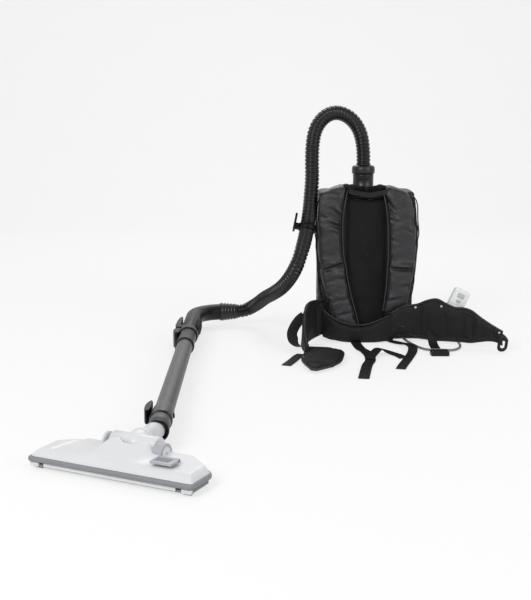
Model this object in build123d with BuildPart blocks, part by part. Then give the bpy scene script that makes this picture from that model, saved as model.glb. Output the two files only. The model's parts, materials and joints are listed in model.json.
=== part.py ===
from build123d import *
import math
import os

# Backpack vacuum cleaner, in millimetres. X runs across the pack, Y from the wearer's side (-Y)
# to the side away from the wearer, Z up. The pack stands on its feet on the floor at z = 0.

# ---- driving dimensions: pack body -------------------------------------------------------
body_w = 230.0            # across the shoulders
body_front = -50.0        # wearer's side of the body
body_rear = 66.0
split_y = 30.0            # back frame in front of this plane, covers behind it
body_top = 352.0
wall = 3.0
corner_r = 26.0           # upright corners of every casing
edge_r = 10.0             # top edges
foot_h = 5.0
foot_r = 11.0
gap = 0.3                 # between pieces that move past each other
run_fit = 0.05            # radial, shaft in bearing
pin_fit = 0.04            # radial, pin in knuckle

# battery
battery_l = 104.0
battery_d = 60.0
battery_h = 68.0
battery_y = 16.0          # middle of the battery, front to back
battery_z = 22.0          # underside
battery_recess = 3.0      # outer end inside the body's side
battery_x = body_w / 2 - battery_recess - battery_l
deck_clear = 14.0         # battery to the top of the deck
deck_z = battery_z + battery_h + deck_clear
divider_t = 6.0
button_w = 20.0
button_h = 9.0
button_t = 5.0
button_travel = 3.0

# fan and motor
motor_r = 45.0
motor_wall = 3.0
motor_h = 83.6
motor_top = deck_z + motor_h
shaft_r = 4.0
bearing_r = 11.0
bearing_h = 7.0
impeller_r = 40.0
impeller_h = 16.0
impeller_z = motor_top - impeller_h - 5.6
stator_r = 30.0
rotor_r = 19.0
suction_r = 20.0
plate_t = 3.0
plate_z = motor_top + 0.4
cover_top = plate_z + 7.0  # top of the fixed rear shell, bottom of the lid
filter_h = 9.0
bag_bottom = plate_z + plate_t + filter_h + 4.0
bag_top = body_top - 22.0

# inlet and hose
inlet_x = -6.0
inlet_y = 0.0
inlet_r = 24.5
inlet_bore = inlet_r - 4.5
inlet_top = body_top + 36.6
cuff_r = inlet_r + 2.5
cuff_top = inlet_top + 22.4
hose_r = 17.25

# lid
knuckle_r = 4.5
hinge_y = body_rear + knuckle_r + 0.5
hinge_z = cover_top
hinge_pin_r = 2.0
knuckle_w = 7.0
hinge_x = 70.0            # middle of each hinge
latch_w = 44.0
latch_h = 12.0
latch_t = 4.0
latch_z = body_top - 24.0

# handle pipe and wand, lying along Y
wand_x = -418.0
wand_z = 36.0
wand_r = 17.25
tube_wall = 1.5
inner_r = wand_r - tube_wall - 0.35
inner_wall = 1.4
handle_end_y = -187.0     # mouth of the handle pipe
outer_end_y = -832.0      # lower end of the outer tube
inner_end_y = -861.0      # lower end of the inner tube
inner_overlap = 420.0     # inner tube hidden in the outer tube
pipe_r = wand_r + 2.75
pipe_bend_y = 10.0
pipe_bend_r = 75.0
pipe_bend = 80.0          # degrees
pipe_socket = 45.0        # length of wand that the pipe's mouth swallows
end_cuff_l = 42.0
end_cuff_r = pipe_r + 2.0
collar_r = pipe_r + 2.0
collar_l = 24.0

# floor nozzle, in its own frame: u along the front edge, v backwards
nozzle_x = -616.0         # front left corner
nozzle_y = -993.0
nozzle_turn = 26.5        # degrees, clockwise seen from above
nozzle_w = 300.0
nozzle_d = 104.0
side_d = 62.0             # straight part of each end
back_w = 196.0            # straight part of the back edge
bumper_t = 5.0
bumper_z = 9.0
bumper_top = 25.0
cover_h = 32.0            # height of the cover's wings
barrel_r = 18.0
barrel_v = 85.0
barrel_z = barrel_r + 18.0
hump_h = barrel_z + barrel_r
barrel_l = 86.0
axle_r = 6.0
cheek_t = 10.0
cap_r = barrel_r - 3.0
cap_t = 4.0
wheel_r = 9.0
roller_r = 5.5
roller_l = 12.0
wheel_w = 8.0
wheel_axle_r = 2.0
wheel_inset = 62.0        # rear wheels from the ends
roller_inset = 15.0
brush_lift = 3.0

# harness
pad_front = -76.0
strap_front = -98.0
soft_gap = 0.4
pad_w = 240.0
pad_top = body_top - 6.0
strap_top = body_top + 12.0
webbing_t = 2.4


def casing(z0, z1, y0, y1, corners, x_half=body_w / 2, radius=corner_r):
    """Upright box with the named corners rounded: 'front', 'rear' or 'both'."""
    with BuildPart(mode=Mode.PRIVATE) as block:
        with BuildSketch(Plane.XY.offset(z0)) as outline:
            with Locations((0, (y0 + y1) / 2)):
                Rectangle(2 * x_half, y1 - y0)
            points = outline.vertices().sort_by(Axis.Y)
            chosen = {"front": points[:2], "rear": points[2:], "both": points}[corners]
            fillet(chosen, radius)
        extrude(amount=z1 - z0)
    return block.part


# ---- base housing: battery bays, deck, divider and battery rails ---------------------------
housing_bottom = foot_h + wall
rail_l = body_w / 2 - wall - battery_recess - divider_t / 2
with BuildPart() as base_housing:
    add(casing(housing_bottom, deck_z, body_front, body_rear, "both"))
    add(casing(housing_bottom - 1, deck_z - wall, body_front + wall, body_rear - wall, "both",
               body_w / 2 - wall, corner_r - wall), mode=Mode.SUBTRACT)
    with BuildSketch(Plane.XY.offset(housing_bottom)):
        with Locations((0, (body_front + body_rear) / 2)):
            Rectangle(divider_t, body_rear - body_front - wall)
        for side in (-1, 1):
            for rail_y in (battery_y - battery_d / 3, battery_y + battery_d / 3):
                with Locations((side * (divider_t + rail_l) / 2, rail_y)):
                    Rectangle(rail_l, 4)
    extrude(amount=battery_z - gap - housing_bottom)
    with BuildSketch(Plane.XY.offset(housing_bottom)):
        with Locations((0, (body_front + body_rear) / 2)):
            Rectangle(divider_t, body_rear - body_front - wall)
    extrude(amount=deck_z - wall - housing_bottom + 1)
    # a battery slides out of each side
    with BuildSketch(Plane.YZ.offset(-body_w / 2 - 1)):
        with Locations((battery_y, battery_z + battery_h / 2)):
            Rectangle(battery_d + 2 * gap, battery_h + 2 * gap)
    extrude(amount=wall + 2, mode=Mode.SUBTRACT)
    with BuildSketch(Plane.YZ.offset(body_w / 2 + 1)):
        with Locations((battery_y, battery_z + battery_h / 2)):
            Rectangle(battery_d + 2 * gap, battery_h + 2 * gap)
    extrude(amount=-wall - 2, mode=Mode.SUBTRACT)
    # air passes the deck beside the motor
    with BuildSketch(Plane.XY.offset(deck_z)):
        with Locations((-75, 0), (75, 0)):
            SlotOverall(50, 14)
    extrude(amount=-wall - 1, mode=Mode.SUBTRACT)

with BuildPart() as base_plate:
    add(casing(foot_h, housing_bottom, body_front, body_rear, "both"))
    with BuildSketch(Plane.XY.offset(foot_h)):
        with Locations((0, 8)):
            with GridLocations(24, 60, 7, 2):
                SlotOverall(18, 5)
    extrude(amount=wall + 1, mode=Mode.SUBTRACT)

with BuildPart() as rubber_feet:
    with BuildSketch():
        with Locations((0, (body_front + body_rear) / 2)):
            with GridLocations(body_w - 56, body_rear - body_front - 46, 2, 2):
                Circle(foot_r)
        Circle(foot_r)
    extrude(amount=foot_h)
    chamfer(rubber_feet.faces().filter_by(Axis.Z).group_by(Axis.Z)[0].edges(), 1)

# ---- back frame: open towards the rear and the deck ----------------------------------------
with BuildPart() as back_frame:
    add(casing(deck_z, body_top, body_front, split_y, "front"))
    fillet(back_frame.faces().sort_by(Axis.Z)[-1].edges().sort_by(Axis.Y)[:-1], edge_r)
    add(casing(deck_z - 1, body_top - wall, body_front + wall, split_y + 1, "front",
               body_w / 2 - wall, corner_r - wall), mode=Mode.SUBTRACT)
    with BuildSketch(Plane.XY.offset(body_top + 1)):
        with Locations((inlet_x, inlet_y)):
            Circle(inlet_r + gap)
    extrude(amount=-wall - 2, mode=Mode.SUBTRACT)

# ---- rear shell with its vents, and the lid that swings back on two hinges ------------------
vent_w = 120.0
vent_z0 = deck_z + 12.0
vent_z1 = cover_top - 17.0


def knuckles(centres, reach_y, width):
    """Hinge knuckles across X, each joined to the casing behind it by a web."""
    with BuildPart(mode=Mode.PRIVATE) as row:
        for x in centres:
            with BuildSketch(Plane.YZ.offset(x - width / 2)):
                with Locations((hinge_y, hinge_z)):
                    Circle(knuckle_r)
                with Locations((hinge_y - 3, hinge_z + reach_y)):
                    Rectangle(6, 2 * knuckle_r)
            extrude(amount=width)
            with BuildSketch(Plane.YZ.offset(x - width / 2)):
                with Locations((hinge_y, hinge_z)):
                    Circle(hinge_pin_r + pin_fit)
            extrude(amount=width, mode=Mode.SUBTRACT)
    return row.part


lid_knuckles = [side * hinge_x for side in (-1, 1)]
shell_knuckles = [x + step * (knuckle_w + gap) for x in lid_knuckles for step in (-1, 1)]

with BuildPart() as rear_shell:
    add(casing(deck_z, cover_top, split_y, body_rear, "rear"))
    add(casing(deck_z - 1, cover_top - wall, split_y - 1, body_rear - wall, "rear",
               body_w / 2 - wall, corner_r - wall), mode=Mode.SUBTRACT)
    with BuildSketch(Plane.XZ.offset(-body_rear - 1)):
        with Locations((0, (vent_z0 + vent_z1) / 2)):
            RectangleRounded(vent_w, vent_z1 - vent_z0, 8)
    extrude(amount=wall + 2, mode=Mode.SUBTRACT)
    # the suction hole below reaches under this ledge
    with BuildSketch(Plane.XY.offset(cover_top + 1)):
        Circle(suction_r + 15)
    extrude(amount=-wall - 2, mode=Mode.SUBTRACT)
    add(knuckles(shell_knuckles, -knuckle_r, knuckle_w))

with BuildPart() as exhaust_grille:
    with BuildSketch(Plane.XZ.offset(-body_rear)):
        with Locations((0, (vent_z0 + vent_z1) / 2)):
            RectangleRounded(vent_w - 2 * gap, vent_z1 - vent_z0 - 2 * gap, 8 - gap)
    extrude(amount=wall)
    with BuildSketch(Plane.XZ.offset(-body_rear - 1)):
        with Locations((0, (vent_z0 + vent_z1) / 2)):
            with GridLocations(vent_w / 2 - 2, 8, 2, 7):
                SlotOverall(vent_w / 2 - 10, 4)
    extrude(amount=wall + 2, mode=Mode.SUBTRACT)

lid_z0 = cover_top + gap
latch_pocket = 2.0
with BuildPart() as rear_lid:
    add(casing(lid_z0, body_top, split_y + gap, body_rear, "rear"))
    fillet(rear_lid.faces().sort_by(Axis.Z)[-1].edges().sort_by(Axis.Y)[1:], edge_r)
    # no floor, so that the lid swings clear of the bag
    add(casing(lid_z0 - 1, body_top - wall, split_y - 1, body_rear - wall, "rear",
               body_w / 2 - wall, corner_r - wall), mode=Mode.SUBTRACT)
    with BuildSketch(Plane.XZ.offset(-body_rear)):
        with Locations((0, latch_z)):
            RectangleRounded(latch_w + 2 * gap, latch_h + 2 * latch_t + 2 * gap, 3)
    extrude(amount=latch_pocket, mode=Mode.SUBTRACT)
    add(knuckles(lid_knuckles, knuckle_r + gap, knuckle_w))

with BuildPart() as lid_latch:
    with BuildSketch(Plane.XZ.offset(-body_rear + latch_pocket - gap)):
        with Locations((0, latch_z + latch_t / 2)):
            RectangleRounded(latch_w, latch_h, 2.5)
    extrude(amount=-latch_t)
    with BuildSketch(Plane.XZ.offset(-body_rear - latch_t + latch_pocket - gap)):
        with Locations((0, latch_z + latch_t / 2)):
            with GridLocations(1, 3, 1, 3):
                Rectangle(latch_w - 12, 1.2)
    extrude(amount=-0.8)

pin_l = 3 * knuckle_w + 2 * gap + 2
with BuildPart() as hinge_pins:
    for x in lid_knuckles:
        with BuildSketch(Plane.YZ.offset(x - pin_l / 2)):
            with Locations((hinge_y, hinge_z)):
                Circle(hinge_pin_r)
        extrude(amount=pin_l)

# ---- air path inside: plate, filter, bag and its collar ------------------------------------
with BuildPart() as motor_plate:
    add(casing(plate_z, plate_z + plate_t, body_front + wall + gap, body_rear - wall - gap, "both",
               body_w / 2 - wall - gap, corner_r - wall - gap))
    with BuildSketch(Plane.XY.offset(plate_z)):
        Circle(suction_r)
    extrude(amount=plate_t, mode=Mode.SUBTRACT)

filter_d = 66.0
with BuildPart() as motor_filter:
    with BuildSketch(Plane.XY.offset(plate_z + plate_t)):
        with Locations((0, -8)):
            RectangleRounded(120, filter_d, 6)
    extrude(amount=filter_h)
    with BuildSketch(Plane.XY.offset(plate_z + plate_t + filter_h)):
        with Locations((0, -8)):
            with GridLocations(10, 1, 11, 1):
                Rectangle(4, filter_d - 12)
    extrude(amount=-5, mode=Mode.SUBTRACT)

collar_plate_t = 3.0
with BuildPart() as dust_bag:
    with BuildSketch(Plane.XY.offset(bag_bottom)):
        with Locations((0, 6)):
            RectangleRounded(196, 96, 28)
    extrude(amount=bag_top - bag_bottom)
    fillet(dust_bag.faces().filter_by(Axis.Z).edges(), 14)

with BuildPart() as bag_collar:
    with BuildSketch(Plane.XY.offset(bag_top + gap)):
        with Locations((inlet_x, inlet_y)):
            RectangleRounded(100, 76, 6)
            Circle(inlet_bore - 1, mode=Mode.SUBTRACT)
    extrude(amount=collar_plate_t)

flange_t = 3.0
socket_bottom = bag_top + gap + collar_plate_t + gap
with BuildPart() as inlet_socket:
    with BuildSketch(Plane.XY.offset(socket_bottom)):
        with Locations((inlet_x, inlet_y)):
            Circle(inlet_r)
            Circle(inlet_bore, mode=Mode.SUBTRACT)
    extrude(amount=inlet_top - socket_bottom)
    with BuildSketch(Plane.XY.offset(body_top - wall - flange_t - 0.1)):
        with Locations((inlet_x, inlet_y)):
            Circle(inlet_r + 2.6)
            Circle(inlet_bore, mode=Mode.SUBTRACT)
    extrude(amount=flange_t)

plug_r = inlet_bore - 0.3
plug_l = 18.0
with BuildPart() as hose_cuff:
    with BuildSketch(Plane.XY.offset(inlet_top)):
        with Locations((inlet_x, inlet_y)):
            Circle(cuff_r)
            Circle(hose_r - 3, mode=Mode.SUBTRACT)
    extrude(amount=cuff_top - inlet_top)
    chamfer(hose_cuff.faces().sort_by(Axis.Z)[-1].outer_wire().edges(), 3)
    with BuildSketch(Plane.XY.offset(inlet_top)):
        with Locations((inlet_x, inlet_y)):
            Circle(plug_r)
            Circle(hose_r - 3, mode=Mode.SUBTRACT)
    extrude(amount=-plug_l)

# ---- motor and fan --------------------------------------------------------------------------
with BuildPart() as motor_housing:
    with BuildSketch(Plane.XY.offset(deck_z)):
        Circle(motor_r)
    extrude(amount=motor_top - deck_z)
    with BuildSketch(Plane.XY.offset(deck_z + 4)):
        Circle(motor_r - motor_wall)
    extrude(amount=motor_top - deck_z, mode=Mode.SUBTRACT)
    # lower bearing seat, and a spider that holds the upper one
    with BuildSketch(Plane.XY.offset(deck_z + 4)):
        Circle(bearing_r + 3)
        Circle(bearing_r, mode=Mode.SUBTRACT)
    extrude(amount=bearing_h)
    with BuildSketch(Plane.XY.offset(impeller_z - 4 - bearing_h)):
        Circle(bearing_r + 3)
        Rectangle(2 * motor_r - motor_wall, 6)
        Rectangle(6, 2 * motor_r - motor_wall)
        Circle(bearing_r, mode=Mode.SUBTRACT)
    extrude(amount=bearing_h)
    with BuildSketch(Plane.XY.offset(deck_z)):
        with PolarLocations(motor_r - 12, 6):
            Circle(5)
    extrude(amount=4, mode=Mode.SUBTRACT)

stator_z = deck_z + 4 + bearing_h + 6
stator_h = impeller_z - 4 - bearing_h - 5 - stator_z
with BuildPart() as motor_stator:
    with BuildSketch(Plane.XY.offset(stator_z)):
        Circle(motor_r - motor_wall - gap)
        Circle(rotor_r + 1, mode=Mode.SUBTRACT)
        with PolarLocations(stator_r + 2, 6):
            Circle(5, mode=Mode.SUBTRACT)
    extrude(amount=stator_h)

with BuildPart() as motor_bearings:
    for bearing_z in (deck_z + 4, impeller_z - 4 - bearing_h):
        with BuildSketch(Plane.XY.offset(bearing_z)):
            Circle(bearing_r)
            Circle(shaft_r + run_fit, mode=Mode.SUBTRACT)
        extrude(amount=bearing_h)

with BuildPart() as motor_shaft:
    with BuildSketch(Plane.XY.offset(deck_z + 4 + gap)):
        Circle(shaft_r)
    extrude(amount=impeller_z + impeller_h - deck_z - 4)
    with BuildSketch(Plane.XY.offset(stator_z)):
        Circle(rotor_r)
    extrude(amount=stator_h)

blade_count = 9
with BuildPart() as fan_impeller:
    with BuildSketch(Plane.XY.offset(impeller_z)):
        Circle(impeller_r)
        Circle(shaft_r, mode=Mode.SUBTRACT)
    extrude(amount=2)
    with BuildSketch(Plane.XY.offset(impeller_z)):
        Circle(shaft_r + 5)
        Circle(shaft_r, mode=Mode.SUBTRACT)
    extrude(amount=impeller_h)
    for blade in range(blade_count):
        turn = 360 / blade_count * blade
        with BuildSketch(Plane.XY.offset(impeller_z + 1).rotated((0, 0, turn))):
            with Locations(Location((impeller_r / 2 + 4, 4, 0), (0, 0, -25))):
                Rectangle(impeller_r - 12, 1.6)
        extrude(amount=impeller_h - 1)

board_y = body_front + wall + 5
with BuildPart() as circuit_board:
    with BuildSketch(Plane.XZ.offset(-board_y - 2)):
        for side in (-1, 1):
            with Locations((side * 55, 54)):
                Rectangle(88, 66)
    extrude(amount=2)
    with BuildSketch(Plane.XZ.offset(-board_y)):
        for side in (-1, 1):
            with Locations((side * 55, 54)):
                with GridLocations(62, 50, 2, 2):
                    Circle(3)
    extrude(amount=board_y - body_front - wall)
    with BuildSketch(Plane.XZ.offset(-board_y - 2)):
        with Locations((-70, 60), (-40, 50), (45, 64), (75, 48)):
            Rectangle(14, 18)
    extrude(amount=-9)


# ---- batteries: each slides out sideways and carries its own release button ------------------
def battery(side):
    """Battery block with a rail shoe on top and a pocket for the release button."""
    outer_x = side * (battery_x + battery_l)
    with BuildPart(mode=Mode.PRIVATE) as block:
        with BuildSketch(Plane.YZ.offset(side * battery_x)):
            with Locations((battery_y, battery_z + battery_h / 2 - 7)):
                RectangleRounded(battery_d, battery_h - 14, 5)
            with Locations((battery_y, battery_z + battery_h - 10)):
                Rectangle(battery_d - 14, 20)
        extrude(amount=side * battery_l)
        with BuildSketch(Plane.YZ.offset(outer_x)):
            with Locations((battery_y, battery_z + battery_h - 18)):
                Rectangle(button_w + 2 * gap, button_h + 2 * gap)
        extrude(amount=-side * (button_t + button_travel), mode=Mode.SUBTRACT)
    return block.part


def release_button(side):
    """Push button that stands in the battery's pocket."""
    with BuildPart(mode=Mode.PRIVATE) as block:
        with BuildSketch(Plane.YZ.offset(side * (battery_x + battery_l + 1))):
            with Locations((battery_y, battery_z + battery_h - 18)):
                RectangleRounded(button_w, button_h, 2)
        extrude(amount=-side * button_t)
    return block.part


with BuildPart() as battery_left:
    add(battery(-1))
with BuildPart() as battery_right:
    add(battery(1))
with BuildPart() as battery_button_left:
    add(release_button(-1))
with BuildPart() as battery_button_right:
    add(release_button(1))

# ---- handle pipe: straight over the wand, then bent to the right -----------------------------
bend_centre = (wand_x + pipe_bend_r, pipe_bend_y)
bend_end = (bend_centre[0] - pipe_bend_r * math.cos(math.radians(pipe_bend)),
            bend_centre[1] + pipe_bend_r * math.sin(math.radians(pipe_bend)))
out_dir = Vector(math.sin(math.radians(pipe_bend)), math.cos(math.radians(pipe_bend)), 0)
pipe_end = Vector(bend_end[0], bend_end[1], wand_z)
hose_end = pipe_end + out_dir * end_cuff_l


def along_wand(y):
    """Plane across the wand at y, facing its lower end."""
    return Plane(origin=(wand_x, y, wand_z), x_dir=(1, 0, 0), z_dir=(0, -1, 0))


# lever on the left of the pipe, on an upright pin between two ears
lever_y = -145.0
lever_l = 108.0
lever_w = 7.0
lever_pin_r = 2.5
ear_t = 4.0
ear_h = 13.0              # half height over the ears
lever_h = ear_h - ear_t   # half height of the slot
lever_x = wand_x - pipe_r - 6

with BuildPart() as elbow_pipe:
    with BuildLine(Plane.XY.offset(wand_z)) as pipe_line:
        Line((wand_x, handle_end_y), (wand_x, pipe_bend_y))
        RadiusArc((wand_x, pipe_bend_y), bend_end, pipe_bend_r)
    with BuildSketch(along_wand(handle_end_y)):
        Circle(pipe_r)
        Circle(wand_r + gap, mode=Mode.SUBTRACT)
    sweep(path=pipe_line.line)
    with BuildSketch(along_wand(lever_y + 10)):
        with Locations((-pipe_r - 1, 0)):
            Rectangle(16, 2 * ear_h)
        Circle(pipe_r - 1, mode=Mode.SUBTRACT)
    extrude(amount=20)
    with BuildSketch(Plane.XY.offset(wand_z)):
        with Locations((lever_x - 5, lever_y)):
            Rectangle(20, 24)
    extrude(amount=lever_h, both=True, mode=Mode.SUBTRACT)
    with BuildSketch(Plane.XY.offset(wand_z - ear_h)):
        with Locations((lever_x, lever_y)):
            Circle(lever_pin_r)
    extrude(amount=2 * ear_h)

cuff_plane = Plane(origin=pipe_end, z_dir=out_dir)
with BuildPart() as hose_end_cuff:
    with BuildSketch(cuff_plane):
        Circle(end_cuff_r)
    with BuildSketch(cuff_plane.offset(end_cuff_l)):
        Circle(hose_r + 1.5)
    loft()
    with BuildSketch(cuff_plane):
        Circle(hose_r - 3)
    extrude(amount=end_cuff_l, mode=Mode.SUBTRACT)
    for ring in range(4):
        with BuildSketch(cuff_plane.offset(4 + 9 * ring)):
            Circle(end_cuff_r + 0.8 - ring)
            Circle(hose_r - 2, mode=Mode.SUBTRACT)
        extrude(amount=4)

with BuildPart() as handle_collar:
    with BuildSketch(along_wand(handle_end_y + 12)):
        Circle(collar_r + 1.5)
        Circle(pipe_r + 0.1, mode=Mode.SUBTRACT)
    extrude(amount=collar_l)
    # lug on the left, with a foot that stands on the floor when the wand is laid down
    with BuildSketch(along_wand(handle_end_y + 12)):
        with Locations((-collar_r - 6, -4)):
            RectangleRounded(18, 34, 5)
        with Locations((-collar_r - 4, -wand_z / 2 - 2)):
            RectangleRounded(10, wand_z - 4, 4)
        Circle(collar_r, mode=Mode.SUBTRACT)
    extrude(amount=collar_l + 22)
    with BuildSketch(along_wand(handle_end_y + 12 - collar_l)):
        Circle(collar_r + 1.5)
        Circle(wand_r + 0.1, mode=Mode.SUBTRACT)
    extrude(amount=4)

with BuildPart() as handle_lock_lever:
    with BuildSketch(Plane.XY.offset(wand_z - lever_h + gap)):
        with Locations((lever_x, lever_y)):
            Circle(5)
        with Locations((lever_x - 1.5, lever_y + lever_l / 2)):
            RectangleRounded(lever_w, lever_l, 3)
        with Locations((lever_x, lever_y)):
            Circle(lever_pin_r + run_fit, mode=Mode.SUBTRACT)
    extrude(amount=2 * (lever_h - gap))

slider_l = 100.0
slider_y = -112.0
with BuildPart() as relief_slider:
    with BuildSketch(along_wand(slider_y + slider_l / 2)):
        Circle(pipe_r + 3.5)
        Circle(pipe_r + gap, mode=Mode.SUBTRACT)
        with Locations((-12, 0)):
            Rectangle(60, 60, mode=Mode.SUBTRACT)
    extrude(amount=slider_l)

# ---- telescopic wand --------------------------------------------------------------------------
wand_top_y = handle_end_y + pipe_socket
with BuildPart() as wand_outer_tube:
    with BuildSketch(along_wand(wand_top_y)):
        Circle(wand_r)
        Circle(wand_r - tube_wall, mode=Mode.SUBTRACT)
    extrude(amount=wand_top_y - outer_end_y)

with BuildPart() as wand_inner_tube:
    with BuildSketch(along_wand(outer_end_y + inner_overlap)):
        Circle(inner_r)
        Circle(inner_r - inner_wall, mode=Mode.SUBTRACT)
    extrude(amount=outer_end_y + inner_overlap - inner_end_y)

# collar on the outer tube's lower end, with a pinned paddle on the left
lock_collar_l = 34.0
lock_collar_r = wand_r + 3.75
paddle_y = outer_end_y + 8
paddle_x = wand_x - lock_collar_r - 5
paddle_l = 88.0
paddle_h = 9.0            # half height
with BuildPart() as wand_lock_collar:
    with BuildSketch(along_wand(outer_end_y + lock_collar_l - 8)):
        Circle(lock_collar_r)
        Circle(wand_r + 0.1, mode=Mode.SUBTRACT)
    extrude(amount=lock_collar_l - 8)
    with BuildSketch(along_wand(outer_end_y)):
        Circle(lock_collar_r)
        Circle(inner_r + 0.3, mode=Mode.SUBTRACT)
    extrude(amount=8)
    with BuildSketch(along_wand(paddle_y + 9)):
        with Locations((-lock_collar_r - 2, 0)):
            Rectangle(16, 2 * paddle_h + 8)
        Circle(lock_collar_r - 1, mode=Mode.SUBTRACT)
    extrude(amount=18)
    with BuildSketch(Plane.XY.offset(wand_z)):
        with Locations((paddle_x - 4, paddle_y)):
            Rectangle(19, 24)
    extrude(amount=paddle_h, both=True, mode=Mode.SUBTRACT)
    with BuildSketch(Plane.XY.offset(wand_z - paddle_h - 4)):
        with Locations((paddle_x, paddle_y)):
            Circle(lever_pin_r)
    extrude(amount=2 * paddle_h + 8)

with BuildPart() as wand_lock_lever:
    with BuildSketch(Plane.XY.offset(wand_z - paddle_h + gap)):
        with Locations((paddle_x, paddle_y)):
            Circle(4.5)
        with BuildLine():
            Polyline((paddle_x - 4, paddle_y - 4), (paddle_x + 1, paddle_y - 3), (paddle_x + 1, paddle_y + 12),
                     (paddle_x - 6, paddle_y + paddle_l), (paddle_x - 15, paddle_y + paddle_l - 4),
                     (paddle_x - 12, paddle_y + 14), close=True)
        make_face()
        with Locations((paddle_x, paddle_y)):
            Circle(lever_pin_r + run_fit, mode=Mode.SUBTRACT)
    extrude(amount=2 * (paddle_h - gap))

# ---- neck: a socket on the wand, and a yoke that swivels in it ----------------------------------
nozzle_plane = Plane(origin=(nozzle_x, nozzle_y, 0),
                     x_dir=(math.cos(math.radians(nozzle_turn)), -math.sin(math.radians(nozzle_turn)), 0),
                     z_dir=(0, 0, 1))
u_dir = nozzle_plane.x_dir
v_dir = nozzle_plane.y_dir
mid_u = nozzle_w / 2
socket_l = 26.0
socket_r = inner_r + 4.6
neck_r = socket_r - 2.0
swivel_y = inner_end_y - 12


def across_nozzle(u, v, z):
    """Plane across the nozzle: x runs backwards, y up, and it faces the right-hand end."""
    return Plane(origin=nozzle_plane.from_local_coords((u, v, z)), x_dir=v_dir, z_dir=u_dir)


with BuildPart() as neck_socket:
    with BuildSketch(along_wand(inner_end_y + 8)):
        Circle(socket_r)
        Circle(inner_r + 0.1, mode=Mode.SUBTRACT)
    extrude(amount=8)
    with BuildSketch(along_wand(inner_end_y)):
        Circle(socket_r)
        Circle(inner_r - inner_wall, mode=Mode.SUBTRACT)
    extrude(amount=inner_end_y - swivel_y)

pivot = nozzle_plane.from_local_coords((mid_u, barrel_v, barrel_z))
neck_knee = Vector(wand_x, swivel_y - 26, wand_z)
with BuildPart() as neck_yoke:
    with BuildLine() as neck_line:
        FilletPolyline((wand_x, swivel_y - gap, wand_z), neck_knee, pivot, radius=30)
    with BuildSketch(along_wand(swivel_y - gap)):
        Circle(neck_r)
    sweep(path=neck_line.line)
    with BuildSketch(across_nozzle(mid_u - barrel_l / 2, barrel_v, barrel_z)):
        Circle(barrel_r)
    extrude(amount=barrel_l)
    with BuildSketch(across_nozzle(mid_u - barrel_l / 2 - cheek_t, barrel_v, barrel_z)):
        Circle(axle_r)
    extrude(amount=barrel_l + 2 * cheek_t)
    with BuildSketch(along_wand(swivel_y - gap)):
        Circle(neck_r - 4)
    extrude(amount=24, mode=Mode.SUBTRACT)

# ---- floor nozzle ---------------------------------------------------------------------------------
back_inset = (nozzle_w - back_w) / 2
cheek_gap = 0.4
notch_r = max(barrel_r, neck_r)   # room for the neck behind the barrel


def nozzle_outline(inset):
    """Six-sided plan of the floor nozzle, made smaller all round by inset."""
    with BuildSketch(mode=Mode.PRIVATE) as plan:
        with BuildLine():
            Polyline((0, 0), (nozzle_w, 0), (nozzle_w, side_d), (nozzle_w - back_inset, nozzle_d),
                     (back_inset, nozzle_d), (0, side_d), close=True)
        make_face()
        if inset > 0:
            offset(amount=-inset, kind=Kind.INTERSECTION)
        fillet(plan.vertices(), 6)
    return plan.sketch


with BuildPart() as bumper:
    with BuildSketch(nozzle_plane.offset(bumper_z)):
        add(nozzle_outline(0))
        add(nozzle_outline(bumper_t), mode=Mode.SUBTRACT)
    extrude(amount=bumper_top - bumper_z)
    # notch that lets the neck lie down
    with BuildSketch(across_nozzle(mid_u - barrel_l / 2 - cheek_t - cap_t - 1, barrel_v, barrel_z)):
        with Locations((notch_r, 0)):
            Rectangle(2 * notch_r, 2 * notch_r + 2)
    extrude(amount=barrel_l + 2 * (cheek_t + cap_t + 1), mode=Mode.SUBTRACT)
    chamfer(bumper.faces().sort_by(Axis.Z)[-1].outer_wire().edges(), 1.5)

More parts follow.
